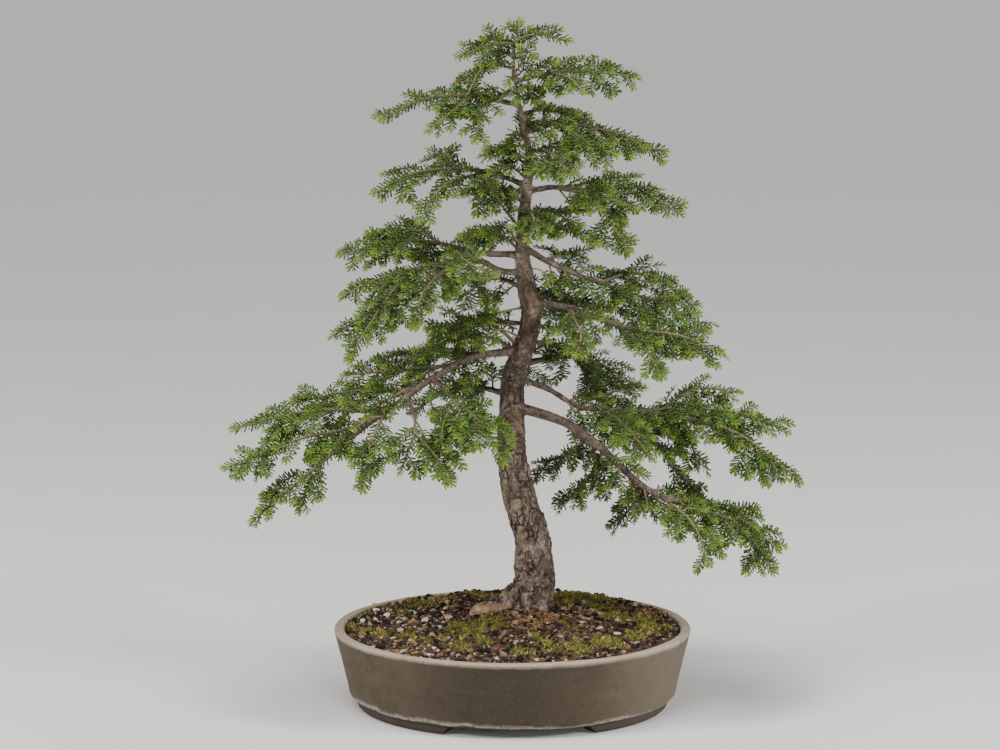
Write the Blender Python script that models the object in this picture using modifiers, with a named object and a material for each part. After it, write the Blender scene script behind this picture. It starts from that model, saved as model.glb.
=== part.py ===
"""A Carolina hemlock bonsai in an oval stoneware pot, in metres, +Z up.

The front of the pot faces -Y, and the pot's feet stand on z = 0. One piece of wood holds the trunk, its
roots and every bare limb. Each spray of needles is a slim core with side twigs and needles on it, which
starts where the bare wood of its limb ends.
"""
import itertools
import math

import bmesh
import bpy
import numpy as np
from mathutils import Matrix, Vector

NAME = "hemlock_bonsai"
SEED = 11
GAP = 0.0003                # between pieces that touch
SHARP_ANGLE = 40            # edges sharper than this aren't shaded smooth, in degrees
UP = np.array((0.0, 0.0, 1.0))

# Pot: an oval, measured from its middle along X, and narrower along Y by POT_OVAL
RIM_RADIUS = 0.200
POT_OVAL = 0.78
POT_STEPS = 32
RIM_TOP = 0.088
RIM_WIDTH = 0.011
RIM_ROUND = 0.0022
RIM_DROP = 0.004               # from the rim's top to where the inner wall begins
BODY_BOTTOM = 0.009
WALL_FOOT = (0.1805, 0.019)    # where the rounded lower edge meets the straight wall
LOWER_EDGE = (0.179, 0.0135)
BOTTOM_EDGE = ((0.176, 0.0100), (0.173, 0.009))
FLOOR_TOP = 0.018
FLOOR_RADIUS = 0.160
FLOOR_BEND = (0.169, 0.025)
FOOT_OUTER = 0.172
FOOT_INNER = 0.148
FOOT_TOP = 0.011               # inside the body
FOOT_HALF_ANGLE = 63           # how far each foot wraps round its end of the pot, in degrees
FOOT_STEPS = 14
FOOT_SLANT = 4                 # the foot's ends lean by this much between floor and body, in degrees
DRAIN_X = 0.085
DRAIN_RADIUS = 0.010
DRAIN_SIDES = 12
DRAIN_SPARE = 0.003            # how far the drill runs past the floor, above and below
SCREEN_HALF = 0.0165
SCREEN_THICK = 0.0010
SCREEN_HOLES = 2
SCREEN_OPEN = 0.72             # a hole's width as a share of the distance between holes

# Soil: a mound that falls away from the trunk
SOIL_EDGE = 0.0815
SOIL_RISE = 0.020
SOIL_SPREAD = 0.068
SOIL_RINGS = (0.024, 0.042, 0.056)     # from the edge inwards
TRUNK_FOOT = (0.022, 0.015)

# Cushions of moss and larger stones on the soil: x, y, radius, height
MOUNDS = (
    (-0.042, -0.020, 0.026, 0.0050), (-0.110, 0.035, 0.020, 0.0035), (-0.128, -0.030, 0.022, 0.0035),
    (0.075, 0.020, 0.030, 0.0035), (0.120, -0.010, 0.024, 0.0030), (0.020, -0.090, 0.028, 0.0030),
    (-0.060, 0.085, 0.030, 0.0035), (0.080, 0.090, 0.026, 0.0040), (0.150, 0.030, 0.018, 0.0030),
    (0.100, -0.070, 0.020, 0.0030), (-0.080, -0.080, 0.020, 0.0030),
)
MOUND_SLOPE = 0.6              # how a mound's radius sets the width of its bell shape

# Trunk, from below the soil to the start of the leader's needles: x, y, z, radius
TRUNK = (
    (0.022, 0.015, 0.062, 0.0250),
    (0.022, 0.015, 0.102, 0.0245),
    (0.025, 0.014, 0.138, 0.0212),
    (0.022, 0.012, 0.184, 0.0196),
    (0.009, 0.010, 0.230, 0.0180),
    (0.000, 0.010, 0.276, 0.0162),
    (-0.001, 0.010, 0.320, 0.0145),
    (0.001, 0.010, 0.366, 0.0135),
    (0.015, 0.010, 0.411, 0.0118),
    (0.020, 0.011, 0.440, 0.0110),
    (0.014, 0.012, 0.478, 0.0101),
    (0.010, 0.012, 0.512, 0.0080),
    (0.014, 0.011, 0.566, 0.0063),
    (0.018, 0.008, 0.609, 0.0046),
    (0.010, 0.004, 0.653, 0.0034),
    (0.002, 0.002, 0.696, 0.0024),
    (0.001, 0.001, 0.720, 0.0020),
)

TRUNK_SEGMENT = 0.033
TRUNK_FOOT_TOP = 0.150         # above the soil everywhere
ROOT_SEGMENT = 0.015

# Roots that show at the surface: points with their radius, from inside the trunk outwards
ROOTS = (
    ((0.018, 0.012, 0.112, 0.0150), (-0.004, 0.004, 0.106, 0.0115), (-0.024, -0.002, 0.103, 0.0090),
     (-0.038, -0.005, 0.101, 0.0078)),
    ((0.026, 0.012, 0.112, 0.0140), (0.044, 0.010, 0.102, 0.0090), (0.062, 0.012, 0.090, 0.0060)),
    ((0.022, 0.006, 0.110, 0.0130), (0.014, -0.018, 0.102, 0.0080), (0.008, -0.038, 0.090, 0.0055)),
    ((0.024, 0.022, 0.110, 0.0130), (0.036, 0.046, 0.100, 0.0080), (0.044, 0.066, 0.088, 0.0055)),
    ((0.018, 0.020, 0.108, 0.0120), (-0.006, 0.040, 0.100, 0.0075), (-0.024, 0.056, 0.088, 0.0050)),
)

# Boughs: name, what it grows from, length of its bare wood, and points from its root to its tip
BOUGHS = (
    ("left_low", "trunk", 0.208, ((-.010, .000, .400), (-.080, -.030, .375), (-.140, -.045, .341),
                                  (-.175, -.055, .326), (-.235, -.070, .314), (-.310, -.080, .285))),
    ("left_low_upper", "left_low", 0.030, ((-.140, -.045, .340), (-.220, -.040, .340), (-.305, -.040, .320))),
    ("left_low_under", "left_low", 0.045, ((-.145, -.047, .338), (-.215, -.090, .285), (-.280, -.100, .230))),
    ("left_low_fork", "left_low_under", 0, ((-.205, -.080, .295), (-.220, -.095, .265), (-.230, -.095, .240))),
    ("left_low_hang", "left_low", 0.022, ((-.135, -.045, .345), (-.150, -.085, .320), (-.160, -.100, .265))),
    ("left_low_stem", "left_low", 0.046, ((-.115, -.040, .355), (-.105, -.085, .330), (-.120, -.105, .285))),
    ("left_low_stem_right", "left_low_stem", 0, ((-.104, -.088, .326), (-.080, -.105, .300), (-.065, -.115, .275))),
    ("left_low_inner", "left_low", 0.022, ((-.085, -.030, .370), (-.060, -.070, .350), (-.045, -.095, .310))),
    ("left_low_front", "left_low_inner", 0, ((-.066, -.062, .355), (-.025, -.085, .330), (.000, -.095, .290))),
    ("left_low_top_mid", "left_low", 0.022, ((-.065, -.020, .385), (-.125, .020, .375), (-.190, .045, .365))),
    ("left_low_top_out", "left_low", 0.022, ((-.105, -.035, .360), (-.175, -.005, .355), (-.245, .010, .340))),
    ("left_low_top_back", "left_low", 0.022, ((-.035, -.010, .395), (-.095, .060, .390), (-.160, .095, .375))),
    ("left_back", "trunk", 0.035, ((.005, .010, .430), (-.040, .060, .425), (-.095, .095, .410))),
    ("left_mid", "trunk", 0.094, ((.008, .010, .485), (-.045, -.005, .495), (-.090, -.018, .495),
                                 (-.140, -.025, .485), (-.185, -.030, .465))),
    ("left_mid_low_in", "left_mid", 0, ((-.100, -.018, .494), (-.135, -.050, .465), (-.195, -.065, .425))),
    ("left_mid_low_out", "left_mid", 0, ((-.108, -.020, .493), (-.140, -.075, .460), (-.175, -.095, .405))),
    ("left_mid_hang", "left_mid", 0.020, ((-.065, -.010, .495), (-.095, -.075, .475), (-.105, -.100, .440))),
    ("left_mid_front", "left_mid", 0.022, ((-.045, -.005, .495), (-.055, -.070, .510), (-.020, -.110, .495))),
    ("left_mid_top", "trunk", 0.065, ((.008, .015, .505), (-.040, .030, .505), (-.080, .030, .515),
                                     (-.130, .015, .520), (-.190, .005, .505))),
    ("left_mid_top_up", "left_mid_top", 0, ((-.078, .030, .514), (-.115, .040, .530), (-.160, .045, .520))),
    ("left_mid_top_back", "left_mid_top", 0.018, ((-.030, .030, .505), (-.035, .075, .520), (-.060, .110, .515))),
    ("left_up", "trunk", 0.062, ((.014, .010, .580), (-.025, .005, .595), (-.070, .000, .600),
                                (-.110, -.010, .595), (-.150, -.020, .575))),
    ("left_up_top", "left_up", 0, ((-.062, .000, .600), (-.075, .025, .615), (-.100, .040, .605))),
    ("left_up_low", "left_up", 0.016, ((-.030, .004, .596), (-.075, -.045, .585), (-.100, -.065, .550))),
    ("left_up_front", "trunk", 0.025, ((.012, .010, .530), (-.010, -.025, .560), (-.030, -.045, .595))),
    ("left_crown", "trunk", 0.016, ((.016, .005, .625), (-.010, .000, .625), (-.030, -.015, .620))),
    ("left_top", "trunk", 0.025, ((.007, .003, .670), (-.020, .000, .675), (-.060, -.010, .680),
                                 (-.100, -.020, .675), (-.140, -.030, .655))),
    ("left_top_low", "left_top", 0, ((-.045, -.006, .679), (-.065, -.045, .665), (-.090, -.060, .645))),
    ("left_top_front", "left_top", 0, ((-.028, .000, .676), (-.035, -.050, .660), (-.040, -.070, .635))),
    ("left_top_back", "trunk", 0.014, ((.001, .002, .708), (-.025, .030, .710), (-.060, .050, .695))),
    ("apex", "trunk", 0.006, ((.001, .001, .720), (.002, .000, .742), (.006, .004, .767))),
    ("apex_left", "apex", 0, ((.001, .001, .734), (-.020, -.010, .735), (-.060, -.025, .722))),
    ("apex_left_up", "apex", 0, ((.001, .001, .742), (-.025, .015, .750), (-.045, .025, .742))),
    ("apex_right", "apex", 0, ((.001, .001, .738), (.025, -.005, .745), (.060, -.015, .738))),
    ("right_top", "trunk", 0.018, ((.002, .002, .695), (.050, .000, .705), (.095, -.002, .705),
                                  (.135, -.005, .698))),
    ("right_top_low", "right_top", 0, ((.040, .000, .703), (.060, -.040, .700), (.075, -.060, .685))),
    ("right_crown", "trunk", 0.035, ((.014, .006, .640), (.050, .000, .650), (.095, -.005, .643),
                                    (.130, -.010, .633), (.162, -.020, .610))),
    ("right_crown_low", "right_crown", 0, ((.055, .000, .649), (.080, -.040, .630), (.110, -.060, .620))),
    ("right_crown_back", "trunk", 0.014, ((.009, .004, .660), (.045, .025, .665), (.085, .050, .655))),
    ("right_crown_front", "trunk", 0.016, ((.017, .008, .620), (.035, -.050, .620), (.050, -.085, .600))),
    ("right_up", "trunk", 0.065, ((.015, .010, .575), (.050, .005, .580), (.105, -.005, .575),
                                 (.145, -.015, .573), (.182, -.025, .553))),
    ("right_up_low", "right_up", 0, ((.085, .000, .577), (.105, -.030, .545), (.125, -.045, .515))),
    ("right_up_back", "right_up", 0.018, ((.060, .002, .579), (.105, .050, .585), (.140, .075, .585))),
    ("right_up_front", "right_up", 0.016, ((.045, .005, .579), (.095, -.055, .575), (.130, -.080, .565))),
    ("right_small", "trunk", 0.018, ((.012, .010, .528), (.050, -.030, .540), (.090, -.055, .525))),
    ("right_mid", "trunk", 0.075, ((.011, .013, .510), (.050, .020, .490), (.120, .015, .465),
                                  (.170, .000, .450), (.215, -.015, .422))),
    ("right_mid_up", "right_mid", 0, ((.095, .020, .473), (.140, .045, .480), (.195, .060, .455))),
    ("right_mid_back", "right_mid", 0.014, ((.035, .016, .498), (.065, .060, .500), (.085, .095, .490))),
    ("right_mid_low", "trunk", 0.080, ((.020, .011, .448), (.075, -.010, .440), (.125, -.035, .430),
                                      (.180, -.055, .425), (.222, -.070, .408))),
    ("right_mid_low_drop", "right_mid_low", 0, ((.115, -.030, .432), (.140, -.085, .415), (.158, -.105, .388))),
    ("right_mid_low_front", "right_mid_low", 0.018, ((.060, -.004, .443), (.072, -.080, .430),
                                                    (.065, -.110, .412))),
    ("right_inner", "trunk", 0.030, ((.015, .010, .411), (.060, .060, .390), (.100, .085, .340))),
    ("right_long", "trunk", 0.110, ((.001, .010, .365), (.055, .020, .345), (.140, .015, .332),
                                   (.220, .010, .333), (.265, .005, .325), (.305, .000, .308))),
    ("right_long_low", "right_long", 0, ((.140, .015, .332), (.240, -.025, .315), (.312, -.050, .265))),
    ("right_long_top", "right_long", 0, ((.165, .014, .331), (.205, .030, .352), (.255, .035, .347))),
    ("right_long_front", "right_long", 0.020, ((.095, .018, .338), (.120, -.060, .330), (.150, -.090, .295))),
    ("right_long_up", "right_long", 0.018, ((.075, .020, .341), (.115, .060, .345), (.150, .080, .345))),
    ("right_long_under", "right_long", 0, ((.125, .015, .334), (.170, .010, .280), (.210, .000, .235))),
    ("right_low", "trunk", 0.215, ((.000, .010, .335), (.055, -.008, .320), (.095, -.020, .298),
                                  (.145, -.036, .262), (.195, -.050, .238), (.245, -.065, .220),
                                  (.283, -.080, .170))),
    ("right_low_top", "right_low", 0.018, ((.175, -.046, .246), (.240, -.020, .225), (.295, -.020, .180))),
    ("right_low_hang", "right_low", 0.018, ((.165, -.042, .252), (.195, -.090, .225), (.210, -.110, .185))),
    ("right_low_inner_left", "right_low", 0.022, ((.080, -.016, .306), (.065, .040, .275), (.025, .075, .258))),
    ("right_low_inner_mid", "right_low", 0.020, ((.100, -.022, .295), (.085, .025, .250), (.055, .040, .218))),
    ("right_low_inner_right", "right_low", 0.018, ((.130, -.031, .273), (.135, .010, .225),
                                                  (.110, .020, .198))),
    ("front_mid", "trunk", 0.016, ((.012, .011, .545), (.020, -.035, .555), (.028, -.065, .530))),
    ("back_low", "trunk", 0.060, ((.000, .010, .372), (.015, .095, .380), (.010, .185, .330))),
    ("back_low_left", "trunk", 0.050, ((.000, .010, .348), (-.060, .090, .345), (-.120, .160, .300))),
    ("back_low_right", "trunk", 0.050, ((.002, .010, .385), (.080, .085, .385), (.150, .150, .345))),
    ("back_mid_right", "trunk", 0.035, ((.020, .011, .450), (.050, .090, .455), (.080, .150, .415))),
    ("back_mid_left", "trunk", 0.035, ((.016, .012, .465), (-.020, .080, .470), (-.060, .145, .440))),
    ("back_up_right", "trunk", 0.025, ((.012, .012, .542), (.035, .060, .550), (.045, .115, .520))),
    ("back_up_left", "trunk", 0.020, ((.014, .011, .560), (-.015, .070, .575), (-.045, .110, .555))),
    ("back_top", "trunk", 0.014, ((.014, .006, .635), (.015, .050, .645), (.010, .085, .625))),
)

# Growth of the boughs
PATH_STEP = 0.006
NEAREST_STEP = 0.002
LIMB_ROOT_RADIUS = (0.0004, 0.0165)    # a limb's radius at its root: a constant, and a share of its length
LIMB_TIP_RADIUS = 0.0011
LONG_LIMB = 0.07                       # bare wood longer than this is six-sided, and the rest four-sided
WOOD_SEGMENT = 0.036
CORE_SEGMENT = 0.045
LIFTS = (0, .006, -.006, .012, -.012, .018, -.018, .025, -.025)    # moves a bough clear of its neighbours
TWIG_FIRST = 0.028                           # where the first side twig of a core grows
TWIG_SPACING = 0.046
SPACING_SPREAD = (0.8, 1.2)
TWIG_LONGEST = 0.045
TWIG_SHORTEST = 0.012
TWIG_TAPER = 0.42                            # a twig's length as a share of what is left of its bough
TWIG_SPREAD = (0.75, 1.15)
TWIG_ANGLE = 50                              # between a twig and its bough, in degrees
ANGLE_SPREAD = 8
ROLL_SPREAD = 35                             # how far twigs turn out of the spray's plane, in degrees
TWIG_ROLLS = (0, 25, -25, 50, -50, 75)       # turns a twig clear of its neighbours, in degrees
TWIG_LEAN = 0.10                             # how far a twig's tip leans forward, as a share of its length
TWIG_DROOP = 0.16
CORE_RADII = (0.0018, 0.0014, 0.0002)        # at the start, before the pointed tip, and at its end
CORE_SIDES = (0, 180, 90, 270)               # where the core's four flat sides face, round its length
TWIG_RADII = (0.0014, 0.0013)
TWIG_SINK = 0.0009                           # a twig's root lies this far from its core's middle line
TWIG_SIDES = (30, 150, 270)
POINT = 0.007                                # length of the pointed tip of a core or twig
NEEDLE_LENGTH = 0.0110
NEEDLE_RADIUS = 0.0009
NEEDLE_ANGLE = 55
NEEDLE_SPACING = 0.0205
NEEDLE_SINK = 0.0003
NEEDLE_SHIFTS = (0, -.0025, .0025)
CLEAR = 0.0006                               # least room between pieces of different sprays


# Paths

def unit(vector):
    return vector / max(np.linalg.norm(vector), 1e-9)


def smooth_path(points):
    """Points close together along a smooth curve through the given ones."""
    knots = np.array(points, float)
    ends = np.vstack((2 * knots[0] - knots[1], knots, 2 * knots[-1] - knots[-2]))
    path = [knots[0]]
    for before, start, end, after in zip(ends, ends[1:], ends[2:], ends[3:]):
        count = max(2, round(float(np.linalg.norm((end - start)[:3])) / PATH_STEP))
        for t in np.arange(1, count + 1) / count:
            path.append(0.5 * (2 * start + (end - before) * t
                               + (2 * before - 5 * start + 4 * end - after) * t ** 2
                               + (3 * start - before - 3 * end + after) * t ** 3))
    return np.array(path)


def distances(path):
    """How far along the path each of its points lies."""
    return np.concatenate(((0.0,), np.cumsum(np.linalg.norm(np.diff(path[:, :3], axis=0), axis=1))))


def along(path, distance):
    """The point of the path at a distance from its start."""
    reach = distances(path)
    return np.array([np.interp(distance, reach, path[:, axis]) for axis in range(path.shape[1])])


def heading(path, distance, span=0.004):
    """The direction of the path at a distance from its start."""
    return unit(along(path, distance + span) - along(path, max(distance - span, 0.0)))


def stretch(path, start, end, segment):
    """The part of the path between two distances, in even segments."""
    count = max(1, round((end - start) / segment))
    return np.array([along(path, distance) for distance in np.linspace(start, end, count + 1)])


def nearest_place(path, point):
    """How far along the path lies its nearest point to the given one, to within a step."""
    places = np.arange(0, distances(path)[-1], NEAREST_STEP)
    gaps = [np.linalg.norm(along(path, place)[:3] - point) for place in places]
    return places[int(np.argmin(gaps))]


def frame(direction, up):
    """Unit vectors across the direction and above it, with the given way up."""
    across = unit(np.cross(up, direction))
    return across, np.cross(direction, across)


# Room between the pieces

def segment_distances(p, q, starts, ends):
    """The distance from the segment p-q to each of the other segments."""
    u = q - p
    v = ends - starts
    w = p - starts
    a = max(u @ u, 1e-18)
    b = v @ u
    c = np.maximum(np.einsum("ij,ij->i", v, v), 1e-18)
    d = w @ u
    e = np.einsum("ij,ij->i", w, v)
    s = np.clip((b * e - c * d) / np.maximum(a * c - b * b, 1e-18), 0, 1)
    t = np.clip((b * s + e) / c, 0, 1)
    s = np.clip((b * t - d) / a, 0, 1)
    return np.linalg.norm(w + s[:, None] * u - t[:, None] * v, axis=1)


class Crowd:
    """Every tube placed so far, as segments with a radius, their node and their own stem."""

    def __init__(self):
        self.segments = np.empty((0, 7))
        self.nodes = np.empty(0, str)
        self.stems = np.empty(0, str)

    def add(self, path, radius, node, stem):
        radii = np.full((len(path) - 1, 1), radius) if np.isscalar(radius) else radius[:-1, None]
        rows = np.hstack((path[:-1, :3], path[1:, :3], radii))
        self.segments = np.vstack((self.segments, rows))
        self.nodes = np.append(self.nodes, [node] * len(rows))
        self.stems = np.append(self.stems, [stem] * len(rows))

    def free(self, path, radius, node, stem, own_node=False):
        """Whether a tube stays clear of the other nodes and, if asked, of its own node's other stems."""
        other = (self.stems != stem) & ((self.nodes != node) | own_node)
        near = self.segments[other]
        room = near[:, 6] + radius + np.where(self.nodes[other] == node, 0.0, CLEAR)
        for p, q in zip(path, path[1:]):
            if np.any(segment_distances(p[:3], q[:3], near[:, 0:3], near[:, 3:6]) < room):
                return False
        return True


# Growth

def wood_path(bough):
    return stretch(bough["path"], 0, bough["wood"], WOOD_SEGMENT)


def wood_radii(bough):
    root = LIMB_ROOT_RADIUS[0] + LIMB_ROOT_RADIUS[1] * bough["length"]
    return root + (LIMB_TIP_RADIUS - root) * distances(wood_path(bough)) / bough["length"]


def core_path(bough):
    """The core's middle line: even segments, then the pointed tip.

    Where it meets bare wood, its flat end clears the wood's flat end also where the line turns.
    """
    end = bough["length"] - POINT
    start = bough["wood"]
    if bough["own"]:
        wood = wood_path(bough) if bough["wood"] else bough["host_path"][:, :3]
        first = stretch(bough["path"], start, end, CORE_SEGMENT)
        turn = np.linalg.norm(np.cross(unit(wood[-1] - wood[-2]), unit(first[1] - first[0])))
        start += GAP + CORE_RADII[0] * turn
    even = stretch(bough["path"], start, end, CORE_SEGMENT)
    return np.vstack((even, bough["path"][-1]))


def grow_boughs(crowd):
    """Each bough's path, rooted on what it grows from and lifted clear of the others."""
    trunk = smooth_path(TRUNK)
    crowd.add(trunk, trunk[:, 3], "trunk", "trunk")
    boughs = {"trunk": {"path": trunk, "length": distances(trunk)[-1], "wood": 1.0, "node": "trunk"}}
    for name, parent, wood, points in BOUGHS:
        host = boughs[parent]
        free_path = smooth_path(points)
        own = nearest_place(host["path"], points[0]) <= host["wood"]
        line = host["path"] if own else core_path(host)
        root = along(line, nearest_place(line, points[0]))[:3]
        reach = distances(free_path)[:, None] / distances(free_path)[-1]
        free_path = free_path + (root - free_path[0]) * (1 - reach) ** 2
        node = "spray_" + name if own else host["node"]
        for lift in LIFTS:
            path = free_path + UP * lift * reach
            bough = {"path": path, "length": distances(path)[-1], "wood": wood, "own": own, "node": node,
                     "host_path": host["path"]}
            if crowd.free(core_path(bough), CORE_RADII[0], node, name) and (
                    not wood or crowd.free(wood_path(bough), wood_radii(bough)[0], "trunk", name)):
                break
        boughs[name] = bough
        if wood:
            crowd.add(wood_path(bough), wood_radii(bough), "trunk", name)
        crowd.add(core_path(bough), CORE_RADII[0], node, name)
    del boughs["trunk"]
    return boughs


def twig_tip(root, direction, forward, length):
    """Where a side twig ends: it leans forward and droops."""
    return root + (direction + forward * TWIG_LEAN - UP * TWIG_DROOP) * length


def grow_twigs(boughs, crowd):
    """Side twigs, left and right in turn, shorter towards the tip of their bough."""
    rng = np.random.default_rng(SEED)
    for name, bough in boughs.items():
        core = core_path(bough)
        length = distances(core)[-1]
        bough["twigs"] = []
        side = 1
        place = TWIG_FIRST
        while place < length - TWIG_SHORTEST:
            size = min(TWIG_LONGEST, TWIG_TAPER * (length - place) + TWIG_SHORTEST)
            size *= rng.uniform(*TWIG_SPREAD)
            roll = rng.uniform(-ROLL_SPREAD, ROLL_SPREAD)
            angle = math.radians(TWIG_ANGLE + rng.uniform(-ANGLE_SPREAD, ANGLE_SPREAD))
            root = along(core, place)
            forward = heading(core, place)
            across, above = frame(forward, UP)
            for turn in TWIG_ROLLS:
                tilt = math.radians(roll + turn)
                outward = side * across * math.cos(tilt) + above * math.sin(tilt)
                direction = math.cos(angle) * forward + math.sin(angle) * outward
                twig = np.array((root, twig_tip(root, direction, forward, size)))
                twig[0] += unit(twig[1] - twig[0]) * TWIG_SINK
                if crowd.free(twig, TWIG_RADII[0], bough["node"], name):
                    crowd.add(twig, TWIG_RADII[0], bough["node"], f"{name} {len(bough['twigs'])}")
                    bough["twigs"].append(twig)
                    break
            side = -side
            place += TWIG_SPACING * rng.uniform(*SPACING_SPREAD)


def needle_at(stem, place, side):
    """A needle's root, its tip, and the way its stem runs there."""
    forward = heading(stem, place, 0.001)
    across, above = frame(forward, UP)
    outward = across * math.cos(math.radians(side)) + above * math.sin(math.radians(side))
    lean = math.radians(NEEDLE_ANGLE)
    direction = math.cos(lean) * forward + math.sin(lean) * outward
    root = along(stem, place) + direction * NEEDLE_SINK
    return np.array((root, root + direction * NEEDLE_LENGTH, forward))


def grow_needles(boughs, crowd):
    """Needles in turn on all the flat sides of every core and twig, moved a little to find room."""
    for name, bough in boughs.items():
        bough["needles"] = []
        stems = [(name, core_path(bough), CORE_SIDES)]
        stems += [(f"{name} {index}", twig, TWIG_SIDES) for index, twig in enumerate(bough["twigs"])]
        for index, (stem_name, stem, sides) in enumerate(stems):
            first = POINT
            last = distances(stem)[-1] - POINT - NEEDLE_RADIUS
            count = max(1, round((last - first) / NEEDLE_SPACING) + 1)
            for step, place in enumerate(np.linspace(last, first, count)):
                for turn, shift in itertools.product(range(len(sides)), NEEDLE_SHIFTS):
                    side = sides[(step + index + turn) % len(sides)]
                    needle = needle_at(stem, min(place + shift, last), side)
                    if crowd.free(needle[:2], NEEDLE_RADIUS, bough["node"], stem_name, own_node=True):
                        bough["needles"].append(needle)
                        crowd.add(needle[:2], NEEDLE_RADIUS, bough["node"], stem_name)
                        break


# Solids

def place(mesh, name, material=None):
    """A new object of the bonsai's collection that holds the mesh."""
    obj = bpy.data.objects.new(name, mesh)
    if material:
        mesh.materials.clear()
        mesh.materials.append(material)
        mesh.shade_smooth()
        mesh.set_sharp_from_angle(angle=math.radians(SHARP_ANGLE))
    bpy.data.collections[NAME].objects.link(obj)
    return obj


def evaluated(obj):
    return bpy.data.meshes.new_from_object(obj.evaluated_get(bpy.context.evaluated_depsgraph_get()))


def to_mesh(bm):
    """Turns a finished bmesh into a mesh."""
    mesh = bpy.data.meshes.new("solid")
    bm.to_mesh(mesh)
    bm.free()
    return mesh


def discard(obj):
    data = obj.data
    bpy.data.objects.remove(obj)
    if data.users == 0:
        (bpy.data.curves if isinstance(data, bpy.types.Curve) else bpy.data.meshes).remove(data)


def finish(mesh):
    """Leaves the mesh its biggest closed body alone."""
    bm = bmesh.new()
    bm.from_mesh(mesh)
    bmesh.ops.remove_doubles(bm, verts=bm.verts, dist=2e-6)
    seen = set()
    bodies = []
    for start in bm.faces:
        if start in seen:
            continue
        body = [start]
        seen.add(start)
        for face in body:
            for other in {other for edge in face.edges for other in edge.link_faces} - seen:
                seen.add(other)
                body.append(other)
        bodies.append(body)
    bodies.sort(key=len)
    loose = [face for body in bodies[:-1] for face in body]
    bmesh.ops.delete(bm, geom=loose, context="FACES")
    bm.to_mesh(mesh)
    bm.free()


def tube(path, radii, resolution, square=False):
    """A closed tapering tube along the path; a square one keeps flat sides above, below, left and right."""
    curve = bpy.data.curves.new("tube", "CURVE")
    curve.dimensions = "3D"
    curve.twist_mode = "Z_UP" if square else "MINIMUM"
    curve.bevel_depth = 1.0
    curve.bevel_resolution = resolution
    curve.use_fill_caps = True
    spline = curve.splines.new("POLY")
    spline.points.add(len(path) - 1)
    for point, position, radius in zip(spline.points, path, radii):
        point.co = (*position[:3], 1.0)
        point.radius = radius
        point.tilt = math.radians(45) if square else 0.0
    guide = place(curve, "tube_guide")
    bpy.context.view_layer.update()
    mesh = evaluated(guide)
    discard(guide)
    bm = bmesh.new()
    bm.from_mesh(mesh)
    bmesh.ops.remove_doubles(bm, verts=bm.verts, dist=1e-6)
    bmesh.ops.triangulate(bm, faces=bm.faces)
    return to_mesh(bm)


def cone_along(start, end, up, radii):
    """A three-sided cone or needle between two points."""
    axis = Vector(end - start)
    across, above = frame(unit(end - start), up)
    turn = Matrix((across, above, axis.normalized())).transposed().to_4x4()
    middle = Matrix.Translation(Vector((start + end) / 2))
    bm = bmesh.new()
    bmesh.ops.create_cone(bm, cap_ends=True, segments=3, radius1=radii[0], radius2=radii[1],
                          depth=axis.length, matrix=middle @ turn)
    return bm


def needle_mesh(start, end, forward):
    return to_mesh(cone_along(start, end, forward, (NEEDLE_RADIUS, 0.0)))


def twig_mesh(start, end):
    """A three-sided twig with a pointed tip."""
    direction = unit(end - start)
    bm = cone_along(start, end - direction * POINT, UP, TWIG_RADII)
    cap = max(bm.faces, key=lambda face: face.calc_center_median().dot(Vector(direction)))
    bmesh.ops.poke(bm, faces=[cap], offset=POINT)
    return to_mesh(bm)


def is_closed(mesh):
    bm = bmesh.new()
    bm.from_mesh(mesh)
    closed = len(bm.faces) > 0 and all(edge.is_manifold for edge in bm.edges)
    bm.free()
    return closed


def combine(meshes, operation="UNION"):
    """One mesh from the first one and all the others, by a Boolean on a collection of them."""
    base = place(meshes[0], "base")
    operands = bpy.data.collections.new("operands")
    bpy.context.scene.collection.children.link(operands)
    for mesh in meshes[1:]:
        operands.objects.link(bpy.data.objects.new("operand", mesh))
    boolean = base.modifiers.new("join", "BOOLEAN")
    boolean.operation = operation
    boolean.operand_type = "COLLECTION"
    boolean.collection = operands
    result = None
    for solver in ("EXACT", "MANIFOLD"):
        boolean.solver = solver
        bpy.context.view_layer.update()
        result = evaluated(base)
        finish(result)
        if is_closed(result):
            break
    for obj in [base, *operands.objects]:
        discard(obj)
    bpy.data.collections.remove(operands)
    return result


def paint(name, colour, roughness):
    material = bpy.data.materials.new(name)
    material.use_nodes = True
    shader = material.node_tree.nodes["Principled BSDF"]
    shader.inputs["Base Color"].default_value = (*colour, 1.0)
    shader.inputs["Roughness"].default_value = roughness
    shader.inputs["Metallic"].default_value = 0.0
    return material


# Sub-parts

def turned(profile, steps, start=0.0, angle=360.0):
    """A profile of x, z points turned about the Z axis, made oval by the pot's proportion."""
    bm = bmesh.new()
    verts = [bm.verts.new((x, 0.0, z)) for x, z in profile]
    for a, b in zip(verts, verts[1:]):
        bm.edges.new((a, b))
    if angle < 360.0:
        bm.edges.new((verts[-1], verts[0]))
    obj = place(to_mesh(bm), "profile")
    screw = obj.modifiers.new("turn", "SCREW")
    screw.angle = math.radians(angle)
    screw.steps = screw.render_steps = steps
    screw.use_merge_vertices = angle == 360.0
    screw.merge_threshold = 0.00001
    bpy.context.view_layer.update()
    result = evaluated(obj)
    discard(obj)
    result.transform(Matrix.Diagonal((1.0, POT_OVAL, 1.0, 1.0)) @ Matrix.Rotation(math.radians(start), 4, "Z"))
    return result


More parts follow.
